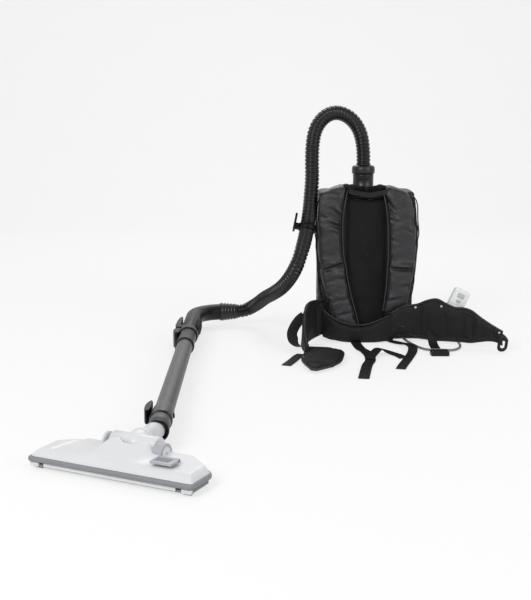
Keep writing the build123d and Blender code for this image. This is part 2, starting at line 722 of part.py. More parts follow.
slot_u = 36.0             # suction slot from each end
slot_v = 22.0
slot_d = 16.0
base_t = 4.0
wheel_u = (wheel_inset, nozzle_w - wheel_inset)
roller_u = (roller_inset, nozzle_w - roller_inset)
wheel_v = nozzle_d - 20
roller_v = bumper_t + 9.5
brush_l = 226.0
brush_w = 3.0
brush_v = (13.0, 47.0)
with BuildPart() as nozzle_base:
    with BuildSketch(nozzle_plane.offset(5)):
        add(nozzle_outline(bumper_t + gap))
    extrude(amount=base_t)
    with BuildSketch(nozzle_plane.offset(5)):
        with Locations((mid_u, slot_v + slot_d / 2)):
            SlotOverall(nozzle_w - 2 * slot_u, slot_d)
        with Locations(*[(u, wheel_v) for u in wheel_u]):
            Rectangle(wheel_w + 3, 2 * wheel_r + 4)
        with Locations(*[(u, roller_v) for u in roller_u]):
            Rectangle(roller_l + 2, 2 * roller_r + 2)
        with Locations(*[(mid_u, v) for v in brush_v]):
            Rectangle(brush_l + 3, brush_w + 2)
    extrude(amount=base_t, mode=Mode.SUBTRACT)
    # the air channel's walls, and the ears that carry the wheels
    with BuildSketch(nozzle_plane.offset(5 + base_t)):
        with Locations((mid_u, slot_v + slot_d / 2)):
            SlotOverall(nozzle_w - 2 * slot_u + 6, slot_d + 6)
            SlotOverall(nozzle_w - 2 * slot_u, slot_d, mode=Mode.SUBTRACT)
    extrude(amount=9)
    for u in wheel_u:
        for side in (-1, 1):
            with BuildSketch(across_nozzle(u + side * (wheel_w / 2 + 2.2) - 1, wheel_v, 0)):
                with Locations((0, 9)):
                    Rectangle(8, 8)
            extrude(amount=2)
        with BuildSketch(across_nozzle(u - wheel_w / 2 - 3, wheel_v, wheel_r)):
            Circle(wheel_axle_r)
        extrude(amount=wheel_w + 6)
    for u in roller_u:
        for side in (-1, 1):
            with BuildSketch(across_nozzle(u + side * (roller_l / 2 + 1.6) - 0.8, roller_v, 0)):
                with Locations((0, 6.25)):
                    Rectangle(6, 5.5)
            extrude(amount=1.6)
        with BuildSketch(across_nozzle(u - roller_l / 2 - 2, roller_v, roller_r)):
            Circle(wheel_axle_r)
        extrude(amount=roller_l + 4)


def rollers(places, v, radius, width):
    """Two equal wheels on one line across the nozzle."""
    with BuildPart(mode=Mode.PRIVATE) as pair:
        for u in places:
            with BuildSketch(across_nozzle(u - width / 2, v, radius)):
                Circle(radius)
                Circle(wheel_axle_r + run_fit, mode=Mode.SUBTRACT)
            extrude(amount=width)
    return pair.part


with BuildPart() as rear_wheels:
    add(rollers(wheel_u, wheel_v, wheel_r, wheel_w))
with BuildPart() as front_rollers:
    add(rollers(roller_u, roller_v, roller_r, roller_l))

pedal_u = 233.0           # foot pedal that lowers the brushes
pedal_v = 46.0
pedal_w = 38.0
pedal_z = cover_h + 5
cover_wall = 2.5
cover_z0 = bumper_z
hump_u = 52.0             # half width of the hump's foot
hump_v0 = 14.0
with BuildPart() as nozzle_cover:
    with BuildSketch(nozzle_plane.offset(cover_z0)):
        add(nozzle_outline(bumper_t + gap))
    extrude(amount=cover_h - cover_z0)
    chamfer(nozzle_cover.faces().sort_by(Axis.Z)[-1].edges(), 4)
    with BuildSketch(nozzle_plane.offset(cover_h - 6)):
        with Locations((mid_u, (hump_v0 + nozzle_d - 6) / 2)):
            Rectangle(2 * hump_u, nozzle_d - 6 - hump_v0)
    extrude(amount=hump_h - cover_h + 6, taper=35)
    for side in (-1, 1):
        cheek_u = mid_u + side * (barrel_l / 2 + cheek_gap + cheek_t / 2)
        with BuildSketch(across_nozzle(cheek_u - cheek_t / 2 + cheek_gap, 0, 0)):
            with Locations((barrel_v, barrel_z)):
                Circle(barrel_r + 1)
            with Locations((barrel_v - 3, (cover_h - 8 + barrel_z) / 2)):
                Rectangle(2 * barrel_r - 4, barrel_z - cover_h + 10)
        extrude(amount=cheek_t - 2 * cheek_gap)
    # hollow underneath, open well for the barrel and the neck
    with BuildSketch(nozzle_plane.offset(cover_z0)):
        add(nozzle_outline(bumper_t + cover_wall + gap))
    extrude(amount=cover_h - cover_z0 - cover_wall - 5, mode=Mode.SUBTRACT)
    with BuildSketch(across_nozzle(mid_u - barrel_l / 2 - cheek_gap, barrel_v, barrel_z)):
        Circle(barrel_r + 1)
        with Locations((notch_r, 0)):
            Rectangle(2 * notch_r, 2 * notch_r + 2)
        with Locations((0, notch_r)):
            Rectangle(2 * notch_r + 2, 2 * notch_r)
    extrude(amount=barrel_l + 2 * cheek_gap, mode=Mode.SUBTRACT)
    with BuildSketch(across_nozzle(mid_u - barrel_l / 2 - cheek_t - 2, barrel_v, barrel_z)):
        Circle(axle_r + run_fit)
    extrude(amount=barrel_l + 2 * cheek_t + 4, mode=Mode.SUBTRACT)
    # seats of the pivot caps
    for side in (-1, 1):
        with BuildSketch(across_nozzle(mid_u + side * (barrel_l / 2 + cheek_t), barrel_v, barrel_z)):
            Circle(cap_r + 0.5)
        extrude(amount=side * (cap_t + 1), mode=Mode.SUBTRACT)
    # ears of the foot pedal
    for side in (-1, 1):
        with BuildSketch(across_nozzle(pedal_u + side * (pedal_w / 2 + 1.4) - 1, pedal_v, 0)):
            with Locations((0, cover_h + 2)):
                Rectangle(8, 12)
        extrude(amount=2)
    with BuildSketch(across_nozzle(pedal_u - pedal_w / 2 - 2, pedal_v, pedal_z)):
        Circle(wheel_axle_r)
    extrude(amount=pedal_w + 4)

pedal_rise = 3.4
with BuildPart() as floor_pedal:
    with BuildSketch(across_nozzle(pedal_u - pedal_w / 2 + gap, pedal_v, pedal_z)):
        Circle(3.6)
        with Locations((-11, pedal_rise + cover_h + 2 - pedal_z)):
            Rectangle(27, 4)
        Circle(wheel_axle_r + run_fit, mode=Mode.SUBTRACT)
    extrude(amount=pedal_w - 2 * gap)

with BuildPart() as brush_strips:
    for v in brush_v:
        with BuildSketch(nozzle_plane.offset(12)):
            with Locations((mid_u, v)):
                Rectangle(brush_l, 2 * brush_w)
        extrude(amount=4)
        with BuildSketch(nozzle_plane.offset(3.2)):
            with Locations((mid_u, v)):
                Rectangle(brush_l, brush_w)
        extrude(amount=9)

with BuildPart() as pivot_caps:
    for side in (-1, 1):
        face_u = mid_u + side * (barrel_l / 2 + cheek_t + 0.2)
        with BuildSketch(across_nozzle(face_u, barrel_v, barrel_z)):
            Circle(cap_r)
        extrude(amount=side * cap_t)
        outer_face = pivot_caps.faces().sort_by(Axis(pivot, u_dir))[-1 if side > 0 else 0]
        chamfer(outer_face.edges(), 1.5)


# ---- harness: plain closed forms of the soft parts ------------------------------------------------
def ribbon(points, half):
    """Outline of a band of constant width along a run of points."""
    left, right = [], []
    for i, (x, y) in enumerate(points):
        before = points[max(i - 1, 0)]
        after = points[min(i + 1, len(points) - 1)]
        run = math.hypot(after[0] - before[0], after[1] - before[1])
        nx, ny = -(after[1] - before[1]) / run, (after[0] - before[0]) / run
        left.append((x + nx * half, y + ny * half))
        right.append((x - nx * half, y - ny * half))
    return left + right[::-1]


def slab(outline, plane, thickness):
    """Closed plate of the given outline, standing on a plane."""
    with BuildPart(mode=Mode.PRIVATE) as plate:
        with BuildSketch(plane):
            with BuildLine():
                Polyline(*outline, close=True)
            make_face()
        extrude(amount=thickness)
    return plate.part


pad_back = body_front - soft_gap
pad_half = pad_w / 2
back_pad_outline = [(-66, 8), (66, 8), (104, 60), (pad_half, 150), (pad_half + 4, 260), (112, pad_top),
                    (-112, pad_top), (-pad_half - 4, 260), (-pad_half, 150), (-104, 60)]
with BuildPart() as back_pad:
    add(slab(back_pad_outline, Plane.XZ.offset(-pad_back), pad_back - pad_front))

strap_back = pad_front - soft_gap
strap_t = strap_back - strap_front
left_strap_outline = [(-111, strap_top), (-50, strap_top), (-50, 186), (-14, 24), (-70, 24), (-111, 183)]
right_strap_outline = [(51, strap_top), (111, strap_top), (113, 183), (92, 76), (38, 76), (46, 183)]


def shoulder_strap(outline, x0, x1):
    """Padded strap down the front, with the stretch that goes over the top of the body."""
    with BuildPart(mode=Mode.PRIVATE) as strap:
        add(slab(outline, Plane.XZ.offset(-strap_back), strap_t))
        over = [(x0, -90), (x1, -90), (x1, -34), (x0, -34)]
        add(slab(over, Plane.XY.offset(body_top + soft_gap), strap_top - body_top - soft_gap))
    return strap.part


with BuildPart() as shoulder_strap_left:
    add(shoulder_strap(left_strap_outline, -106, -52))
with BuildPart() as shoulder_strap_right:
    add(shoulder_strap(right_strap_outline, 53, 106))

with BuildPart() as grab_loop:
    loop_line = [(-47.6, body_top + 6), (-26, body_top), (0, body_top - 3), (26, body_top),
                 (48.6, body_top + 6)]
    add(slab(ribbon(loop_line, 6), Plane.XZ.offset(88), 6))

wing_t = 13.0
right_wing_line = [(44, -84), (58, -105.5), (116, -108), (160, -122), (200, -138), (235, -154), (275, -177),
                   (303, -192)]
right_wing_outline = [(30, 10), (30, 70), (60, 72), (66, 86), (116, 93), (158, 110), (197, 90), (234, 90),
                      (252, 76), (277, 59), (304, 44), (318, 30), (316, 4), (240, 10), (160, 9), (110, 12)]
with BuildPart() as right_belt_wing:
    add(slab(ribbon(right_wing_line, wing_t / 2), Plane.XY, 120))
    add(slab(right_wing_outline, Plane.XZ, 260), mode=Mode.INTERSECT)

left_wing_line = [(-101, -80.2), (-128, -110), (-148, -160), (-152, -215), (-146, -262)]
left_wing_outline = [(-70, 22), (-70, 98), (-130, 104), (-180, 80), (-250, 30), (-270, 16), (-270, 4), (-100, 4)]
left_fold = [(-158, -250), (-146, -405), (-128, -412), (-90, -384), (-46, -286), (-70, -215), (-125, -205),
             (-140, -240)]
with BuildPart() as left_belt_wing:
    add(slab(ribbon(left_wing_line, 6), Plane.XY, 120))
    add(slab(left_wing_outline, Plane.YZ.offset(-200), 150), mode=Mode.INTERSECT)
    add(slab(left_fold, Plane.XY.offset(3), 10))

with BuildPart() as belt_webbing_left:
    side_loop = [(-156.6, 70), (-172, 50), (-182, 30), (-178, 10), (-168, 3)]
    add(slab(ribbon(side_loop, webbing_t / 2), Plane.XZ.offset(152), 26))
    tail = [(-168.4, -256), (-181, -296), (-196, -338)]
    add(slab(ribbon(tail, 11), Plane.XY.offset(1), webbing_t))

buckle_x = 152.0
buckle_y = -236.0
with BuildPart() as loose_webbing:
    long_tail = [(-30, -79), (-22, -180), (-8, -258), (-20, -330), (-38, -450)]
    add(slab(ribbon(long_tail, 12), Plane.XY.offset(1), webbing_t))
    add(slab([(-42, -79), (-18, -79), (-18, -76.6), (-42, -76.6)], Plane.XY.offset(1), 18))
    short_tail = [(-0.1, -226), (32, -226), (60, -238), (80, -266), (78, -310), (58, -372)]
    add(slab(ribbon(short_tail, 10), Plane.XY.offset(1), webbing_t))
    # strap from the right wing to the buckle on the floor
    add(slab(ribbon([(buckle_x, -127.5), (buckle_x, buckle_y + 15.4)], 11), Plane.XY.offset(1), webbing_t))
    add(slab(ribbon([(buckle_x - 10, -124.6), (buckle_x + 10, -131.4)], 0.8), Plane.XY.offset(1), 14))

with BuildPart() as hanging_buckle:
    with BuildSketch(Plane.XY.offset(1)):
        with Locations((buckle_x, buckle_y)):
            RectangleRounded(42, 30, 6)
            with Locations((0, 9)):
                Rectangle(24, 4, mode=Mode.SUBTRACT)
    extrude(amount=10)
    fillet(hanging_buckle.faces().sort_by(Axis.Z)[-1].outer_wire().edges(), 3)

with BuildPart() as belt_end_buckle:
    with BuildSketch(Plane.XY.offset(3)):
        with Locations((299, -213)):
            RectangleRounded(24, 29, 5)
            with Locations((0, -4)):
                SlotOverall(13, 6, mode=Mode.SUBTRACT)
    extrude(amount=5)

# ---- control box on the right wing --------------------------------------------------------------
box_x = 209.0
box_z = 98.0
box_w = 38.0
box_h = 66.0
box_t = 20.0
box_front = -123.4
box_tilt = -25.0
button_depth = 3.5
key_travel = 1.5
key_size = (15.0, 9.0)
mode_size = (9.0, 5.0)
box_plane = Plane(Plane.XZ.offset(-box_front - box_t).location * Location((box_x, box_z, 0), (0, 0, box_tilt)))
key_at = (0, box_h / 2 - 15)
mode_at = (0, box_h / 2 - 29)
with BuildPart() as control_box:
    with BuildSketch(box_plane):
        RectangleRounded(box_w, box_h, 7)
    extrude(amount=box_t)
    fillet(control_box.faces().sort_by(Axis.Y)[0].edges(), 2.5)
    with BuildSketch(box_plane.offset(box_t)):
        with Locations(key_at):
            Rectangle(key_size[0] + 2 * gap, key_size[1] + 2 * gap)
        with Locations(mode_at):
            Rectangle(mode_size[0] + 2 * gap, mode_size[1] + 2 * gap)
    extrude(amount=-button_depth - key_travel, mode=Mode.SUBTRACT)


def key(size, place):
    """Push key that stands 1 mm out of the control box."""
    with BuildPart(mode=Mode.PRIVATE) as block:
        with BuildSketch(box_plane.offset(box_t + 1)):
            with Locations(place):
                RectangleRounded(size[0], size[1], 1.5)
        extrude(amount=-button_depth)
    return block.part


with BuildPart() as power_button:
    add(key(key_size, key_at))
with BuildPart() as mode_button:
    add(key(mode_size, mode_at))

# ---- hose and control cable ------------------------------------------------------------------------
hose_route = [(-6, 0, cuff_top), (-6, 0, 434), (-8, 0, 460), (-14, -4, 488), (-28, -9, 513), (-48, -16, 530),
              (-72, -24, 538), (-96, -33, 532), (-114, -41, 516), (-126, -47, 493), (-131, -52, 462),
              (-132, -54, 424), (-131, -58, 386), (-134, -66, 349), (-137, -79, 313), (-142, -98, 281),
              (-149, -119, 250), (-158, -134, 220), (-168, -136, 190), (-182, -122, 160), (-200, -90, 131),
              (-221, -42, 107), (-242, 14, 86), (-256, 58, 66), (-272, 88, 50)]
for step in (20, 0):
    hose_route.append(tuple(hose_end + out_dir * step))
cable_r = 3.0
cable_start = (84.0, body_front, 14.0)
cable_route = [cable_start, (84, -64, 14), (86, -82, 9), (92, -104, 4.2), (102, -140, 4), (114, -176, 4),
               (128, -204, 5), (146, -214, 7.4), (164, -215, 7.4), (184, -208, 4.4), (203, -190, 4),
               (213, -160, 4), (214, -130, 4.2), (210, -108, 10), (203, -100, 26), (198, -106, 44)]


def cord_path(points, name):
    """Straight runs joined by the largest arcs that the runs allow; prints the radii."""
    corners = [Vector(*p) for p in points]
    radii = []
    for a, b, c in zip(corners, corners[1:], corners[2:]):
        turn = math.radians((b - a).get_angle(c - b))
        radii.append(0.45 * min((b - a).length, (c - b).length) / math.tan(turn / 2))
    print(name, "radii", [round(r) for r in radii])
    with BuildLine(mode=Mode.PRIVATE) as line:
        FilletPolyline(*corners, radius=radii)
    return line.wires()[0]


def cord_tube(path, radius, name):
    """Round tube along a cord's path; prints its volume against section times length."""
    with BuildPart(mode=Mode.PRIVATE) as tube:
        with BuildSketch(Plane(origin=path @ 0, z_dir=path % 0)):
            Circle(radius)
        sweep(path=path)
    expected = math.pi * radius ** 2 * path.length
    print(name, "length", round(path.length), "volume share", round(tube.part.volume / expected, 4))
    return tube.part


with BuildPart() as hose_tube:
    add(cord_tube(cord_path(hose_route, "hose"), hose_r, "hose"))

box_foot = box_plane.from_local_coords((0, -box_h / 2, box_t / 2))
box_down = box_plane.y_dir * -1
cable_end = Vector(box_foot.X, box_foot.Y, box_foot.Z)
cable_route.append(tuple(cable_end + box_down * 12))
cable_route.append(tuple(cable_end))
with BuildPart() as control_cable:
    add(cord_tube(cord_path(cable_route, "cable"), cable_r, "cable"))

# clip on the hose, with a plate that hangs on the belt
clip_at = Vector(-139.5, -88.5, 297)
clip_dir = (Vector(-142, -98, 281) - Vector(-137, -79, 313)).normalized()
clip_plane = Plane(origin=clip_at - clip_dir * 9, x_dir=(-1, 0, 0), z_dir=clip_dir)
with BuildPart() as hose_hook:
    with BuildSketch(clip_plane):
        Circle(hose_r + 3)
        with Locations((hose_r + 7, 0)):
            Rectangle(12, 10)
        Circle(hose_r + 0.5, mode=Mode.SUBTRACT)
    extrude(amount=14)
    with BuildSketch(clip_plane.offset(-22)):
        with Locations((hose_r + 13, 0)):
            RectangleRounded(5, 22, 2)
    extrude(amount=40)

# ---- write every piece -------------------------------------------------------------------------------
pieces = {
    "base_housing": base_housing, "base_plate": base_plate, "rubber_feet": rubber_feet,
    "back_frame": back_frame, "rear_shell": rear_shell, "exhaust_grille": exhaust_grille,
    "rear_lid": rear_lid, "lid_latch": lid_latch, "hinge_pins": hinge_pins,
    "motor_plate": motor_plate, "motor_filter": motor_filter, "dust_bag": dust_bag,
    "bag_collar": bag_collar, "inlet_socket": inlet_socket, "hose_cuff": hose_cuff,
    "motor_housing": motor_housing, "motor_stator": motor_stator, "motor_bearings": motor_bearings,
    "motor_shaft": motor_shaft, "fan_impeller": fan_impeller, "circuit_board": circuit_board,
    "battery_left": battery_left, "battery_right": battery_right,
    "battery_button_left": battery_button_left, "battery_button_right": battery_button_right,
    "elbow_pipe": elbow_pipe, "hose_end_cuff": hose_end_cuff, "handle_collar": handle_collar,
    "handle_lock_lever": handle_lock_lever, "relief_slider": relief_slider,
    "wand_outer_tube": wand_outer_tube, "wand_inner_tube": wand_inner_tube,
    "wand_lock_collar": wand_lock_collar, "wand_lock_lever": wand_lock_lever,
    "neck_socket": neck_socket, "neck_yoke": neck_yoke, "nozzle_cover": nozzle_cover,
    "nozzle_base": nozzle_base, "bumper": bumper, "pivot_caps": pivot_caps,
    "floor_pedal": floor_pedal, "brush_strips": brush_strips, "rear_wheels": rear_wheels,
    "front_rollers": front_rollers, "back_pad": back_pad, "shoulder_strap_left": shoulder_strap_left,
    "shoulder_strap_right": shoulder_strap_right, "grab_loop": grab_loop,
    "left_belt_wing": left_belt_wing, "right_belt_wing": right_belt_wing,
    "belt_webbing_left": belt_webbing_left, "loose_webbing": loose_webbing,
    "hanging_buckle": hanging_buckle,
    "belt_end_buckle": belt_end_buckle, "control_box": control_box, "power_button": power_button,
    "mode_button": mode_button, "hose_tube": hose_tube, "control_cable": control_cable,
    "hose_hook": hose_hook,
}
os.makedirs("parts", exist_ok=True)
for label, piece in pieces.items():
    piece.part.label = label
    export_step(piece.part, f"parts/{label}.step")
print(len(pieces), "pieces written")
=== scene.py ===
# %% [markdown]
# # A backpack vacuum cleaner
# The engineering model says where every part is, in metres, and how it moves. This lesson keeps that
# model still and gives it its looks: moulded plastics, a corrugated hose, a padded harness and webbing.
# The frame is loaded first. The finished looks must not grow past it.

# %% Load the frame
import bpy, bmesh, json, math
from mathutils import Matrix, Vector, noise

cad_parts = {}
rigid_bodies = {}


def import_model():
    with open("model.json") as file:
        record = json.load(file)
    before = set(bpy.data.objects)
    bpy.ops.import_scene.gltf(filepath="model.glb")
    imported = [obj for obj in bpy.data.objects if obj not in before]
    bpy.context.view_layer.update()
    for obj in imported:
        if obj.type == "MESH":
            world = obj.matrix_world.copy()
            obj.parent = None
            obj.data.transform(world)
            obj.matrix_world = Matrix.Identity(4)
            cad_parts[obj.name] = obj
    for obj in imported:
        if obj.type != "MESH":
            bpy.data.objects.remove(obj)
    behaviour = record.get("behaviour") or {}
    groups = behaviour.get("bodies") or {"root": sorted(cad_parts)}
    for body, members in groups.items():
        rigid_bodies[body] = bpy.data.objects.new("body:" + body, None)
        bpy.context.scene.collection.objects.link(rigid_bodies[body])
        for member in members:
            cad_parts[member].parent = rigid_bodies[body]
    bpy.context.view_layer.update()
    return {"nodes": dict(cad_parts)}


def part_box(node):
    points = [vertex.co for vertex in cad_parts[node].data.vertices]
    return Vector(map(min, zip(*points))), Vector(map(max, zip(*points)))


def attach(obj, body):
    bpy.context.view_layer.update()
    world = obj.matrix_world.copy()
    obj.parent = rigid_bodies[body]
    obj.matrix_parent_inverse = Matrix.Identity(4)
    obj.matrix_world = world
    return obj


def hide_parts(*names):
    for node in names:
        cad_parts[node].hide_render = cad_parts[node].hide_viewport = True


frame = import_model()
scene = bpy.context.scene
nodes = frame["nodes"]
MM = 0.001

# %% [markdown]
# The camera stands a little above the floor, 2.6 m in front of the wearer's side of the pack, and looks
# slightly down. A long lens keeps the upright edges of the pack nearly parallel.

# %% Camera
looks_down = 10.69  # degrees below level
camera = bpy.data.objects.new("camera", bpy.data.cameras.new("camera"))
camera.data.lens = 65.1
camera.data.sensor_width = 36
camera.location = (-0.241, -2.62, 0.577)
camera.rotation_euler = (math.radians(90 - looks_down), 0, 0)
scene.collection.objects.link(camera)
scene.camera = camera
scene.view_settings.view_transform = "Standard"
print("camera at", tuple(camera.location), "lens", camera.data.lens)

# %% [markdown]
# ## Small tools
# A piece is finished in the same way each time: it gets its material, the CAD nodes it stands for are
# hidden, and it rides on its body.

# %% Finish a piece
def srgb(*levels):
    """Linear colour of 0 to 255 screen levels."""
    return tuple((v / 255 / 12.92 if v <= 10 else ((v / 255 + 0.055) / 1.055) ** 2.4) for v in levels) + (1,)


def new_object(name, data):
    obj = bpy.data.objects.new(name, data)
    scene.collection.objects.link(obj)
    return obj


def mesh_object(name, verts, faces, smooth=True):
    mesh = bpy.data.meshes.new(name)
    mesh.from_pydata(verts, [], faces)
    mesh.polygons.foreach_set("use_smooth", [smooth] * len(mesh.polygons))
    mesh.update()
    return new_object(name, mesh)


def finish(obj, body, material, slot, *replaced):
    """Give a piece its material, hide the CAD nodes it stands for and put it on its body; slot is not used."""
    if material is not None:
        obj.data.materials.clear()
        for entry in (material if isinstance(material, list) else [material]):
            obj.data.materials.append(entry)
    if replaced:
        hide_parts(*replaced)
    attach(obj, body)
    return obj


def smoothed(obj):
    """Shade every face of a mesh smooth."""
    obj.data.polygons.foreach_set("use_smooth", [True] * len(obj.data.polygons))
    return obj


def baked(obj):
    """The object as its modifiers leave it, as a plain mesh object in its place."""
    depsgraph = bpy.context.evaluated_depsgraph_get()
    depsgraph.update()
    mesh = bpy.data.meshes.new_from_object(obj.evaluated_get(depsgraph), depsgraph=depsgraph)
    name = obj.name
    bpy.data.objects.remove(obj)
    return new_object(name, mesh)

# %% [markdown]
# ## Geometry Nodes, written as code
# Whatever repeats here comes from a node tree: hose ribs, stitches, bristles, screws, grip ribs. This
# small class adds nodes and links by name, so that each tree reads from its inputs to its last node.

# %% A tree builder
class Tree:
    """A Geometry Nodes tree with named number inputs."""

    def __init__(self, name, **sizes):
        self.tree = bpy.data.node_groups.new(name, "GeometryNodeTree")
        face = self.tree.interface
        face.new_socket("Geometry", in_out="INPUT", socket_type="NodeSocketGeometry")
        self.ids = {}
        for key, value in sizes.items():
            kind = "NodeSocketInt" if isinstance(value, int) else "NodeSocketFloat"
            socket = face.new_socket(key, in_out="INPUT", socket_type=kind)
            socket.default_value = value
            self.ids[key] = (socket.identifier, value)
        face.new_socket("Geometry", in_out="OUTPUT", socket_type="NodeSocketGeometry")
        self.input = self.tree.nodes.new("NodeGroupInput")
        self.output = self.tree.nodes.new("NodeGroupOutput")

    def size(self, key):
        return self.input.outputs[key]

    def add(self, kind, settings=None, **links):
        """A node, its settings, and what goes into its inputs: a socket, a node or a value."""
        node = self.tree.nodes.new(kind)
        for key, value in (settings or {}).items():
            setattr(node, key, value)
        for key, value in links.items():
            key = key.replace("_", " ")
            socket = node.inputs[int(key[3:])] if key.startswith("in ") else node.inputs[key]
            if isinstance(value, bpy.types.Node):
                value = value.outputs[0]
            if isinstance(value, bpy.types.NodeSocket):
                self.tree.links.new(value, socket)
            else:
                socket.default_value = value
        return node

    def math(self, operation, a, b=0.0):
        return self.add("ShaderNodeMath", {"operation": operation}, in_0=a, in_1=b)

    def end(self, last, material):
        real = self.add("GeometryNodeRealizeInstances", Geometry=last)
        done = self.add("GeometryNodeSetMaterial", Geometry=real, Material=material)
        self.tree.links.new(done.outputs[0], self.output.inputs[0])

    def run(self, obj, **sizes):
        """Put the tree on an object and return the plain mesh that comes out."""
        modifier = obj.modifiers.new(self.tree.name, "NODES")
        modifier.node_group = self.tree
        for key, (identifier, value) in self.ids.items():
            modifier[identifier] = sizes.get(key, value)
        return baked(obj)

# %% [markdown]
# ## Materials
# Every finish is procedural and reads Object coordinates, which are metres here. A moulded plastic has a
# fine spark-eroded grain and slow changes of shade and of gloss. A brushed metal has its grain stretched.

# %% Moulded plastics and metals
def shader(name, colour, rough, metal=0.0, spec=0.5):
    """A material with one Principled shader: the material, its tree and the shader."""
    material = bpy.data.materials.new(name)
    material.use_nodes = True
    bsdf = material.node_tree.nodes["Principled BSDF"]
    bsdf.inputs["Base Color"].default_value = colour
    bsdf.inputs["Roughness"].default_value = rough
    bsdf.inputs["Metallic"].default_value = metal
    bsdf.inputs["Specular IOR Level"].default_value = spec
    return material, material.node_tree, bsdf


def wire(tree, kind, settings=None, **links):
    """Add a shader node; each link is a socket or a value."""
    node = tree.nodes.new(kind)
    for key, value in (settings or {}).items():
        setattr(node, key, value)
    for key, value in links.items():
        numbered = key.startswith("in_")
        socket = node.inputs[int(key[3:]) if numbered else key.replace("_", " ")]
        if isinstance(value, bpy.types.NodeSocket):
            tree.links.new(value, socket)
        else:
            socket.default_value = value
    return node


def shade_of(colour, factor):
    """A colour made darker or lighter by a factor."""
    return tuple(min(1, c * factor) for c in colour[:3]) + (1,)


def two_shades(tree, bsdf, value, low, high):
    """Colour a surface between two (position, colour) stops of a value."""
    ramp = wire(tree, "ShaderNodeValToRGB", Fac=value)
    for element, (position, colour) in zip(ramp.color_ramp.elements, (low, high)):
        element.position = position
        element.color = colour
    tree.links.new(ramp.outputs["Color"], bsdf.inputs["Base Color"])


def mottle(tree, bsdf, place, colour, rough, spread, patch):
    """Slow changes of shade and gloss over a surface."""
    cloud = wire(tree, "ShaderNodeTexNoise", Vector=place, Scale=patch, Detail=4.0, Roughness=0.6)
    two_shades(tree, bsdf, cloud.outputs["Fac"], (0.3, shade_of(colour, 1 - spread)),
               (0.7, shade_of(colour, 1 + spread)))
    gloss = wire(tree, "ShaderNodeMapRange", Value=cloud.outputs["Fac"])
    gloss.inputs["To Min"].default_value = max(0.03, rough * (1 - spread))
    gloss.inputs["To Max"].default_value = min(1.0, rough * (1 + spread))
    tree.links.new(gloss.outputs["Result"], bsdf.inputs["Roughness"])


def moulded(name, colour, rough, grain=0.00008, grain_scale=1400.0, spread=0.1, metal=0.0, spec=0.5,
            brushed=None):
    """Plastic, paint or metal with a fine grain. brushed stretches the grain along one axis."""
    material, tree, bsdf = shader(name, colour, rough, metal, spec)
    place = tree.nodes.new("ShaderNodeTexCoord").outputs["Object"]
    mottle(tree, bsdf, place, colour, rough, spread, 14.0)
    if brushed:
        place = wire(tree, "ShaderNodeMapping", Vector=place, Scale=brushed).outputs["Vector"]
    fine = wire(tree, "ShaderNodeTexNoise", Vector=place, Scale=grain_scale, Detail=2.0)
    bump = wire(tree, "ShaderNodeBump", Height=fine.outputs["Fac"], Distance=grain, Strength=0.6)
    tree.links.new(bump.outputs["Normal"], bsdf.inputs["Normal"])
    return material


black_plastic = moulded("moulded_black", srgb(22, 22, 24), 0.5, spec=0.35)
satin_black = moulded("satin_black", srgb(32, 32, 33), 0.34, spec=0.45)
teal_plastic = moulded("moulded_teal", srgb(20, 116, 128), 0.36)
charcoal_plastic = moulded("moulded_charcoal", srgb(25, 26, 28), 0.42, spec=0.25)
wand_plastic = moulded("wand_grey", srgb(77, 78, 80), 0.42, spec=0.3, brushed=(1.0, 0.02, 1.0))
inner_metal = moulded("wand_inner_metal", srgb(196, 198, 202), 0.24, metal=1.0, brushed=(1.0, 0.02, 1.0))
white_plastic = moulded("nozzle_white", srgb(212, 213, 215), 0.34, spread=0.02)
bumper_rubber = moulded("bumper_grey", srgb(130, 131, 135), 0.5, spread=0.06, spec=0.3)
pedal_plastic = moulded("pedal_grey", srgb(140, 141, 146), 0.4, spread=0.05, spec=0.3)
hub_plastic = moulded("hub_grey", srgb(168, 169, 174), 0.4, spread=0.04, spec=0.3)
pale_plastic = moulded("control_pale", srgb(228, 229, 229), 0.4, spread=0.02)
key_plastic = moulded("key_grey", srgb(186, 187, 189), 0.45, spread=0.05)
rubber = moulded("rubber_black", srgb(26, 26, 27), 0.75, grain=0.0002, grain_scale=600.0)
buckle_plastic = moulded("buckle_black", srgb(14, 14, 15), 0.36, spec=0.3)
lever_plastic = moulded("lever_black", srgb(9, 9, 10), 0.38, spec=0.2)
steel = moulded("zinc_steel", srgb(186, 188, 190), 0.28, metal=1.0)
copper_winding = moulded("stator_copper", srgb(170, 96, 50), 0.45, metal=0.8, brushed=(1.0, 1.0, 0.05))
impeller_plastic = moulded("impeller_ivory", srgb(210, 206, 190), 0.45)
circuit_green = moulded("circuit_green", srgb(24, 88, 56), 0.4, spread=0.3)
battery_plastic = moulded("battery_black", srgb(24, 24, 25), 0.45, spec=0.35)
button_red = moulded("battery_button_red", srgb(170, 30, 26), 0.4)
filter_foam = moulded("filter_foam", srgb(150, 150, 140), 0.9, grain=0.0012, grain_scale=260.0)
bag_paper = moulded("bag_paper", srgb(200, 184, 150), 0.9, grain=0.0006, grain_scale=120.0)
bag_card = moulded("bag_card", srgb(190, 170, 130), 0.85, grain=0.0002)
cable_skin = moulded("cable_grey", srgb(120, 121, 124), 0.45, spread=0.05)
bristle_white = moulded("bristle_pale", srgb(196, 197, 198), 0.55, spread=0.12)
print("moulded finishes", len(bpy.data.materials))

# %% [markdown]
# The hose is black polythene, glossier than the casings. The harness has a shiny coated nylon on the
# straps, duller ones on the belt and sides, an open air mesh where the wearer's back rests, and webbing.

# %% Cloths
def stripes(tree, place, direction, pitch, distortion, detail=2.0):
    """Even ridges across one axis, one for each pitch in metres."""
    wave = wire(tree, "ShaderNodeTexWave", {"bands_direction": direction}, Vector=place,
                Scale=math.tau / pitch / 20, Distortion=distortion, Detail=detail)
    return wave.outputs["Fac"]


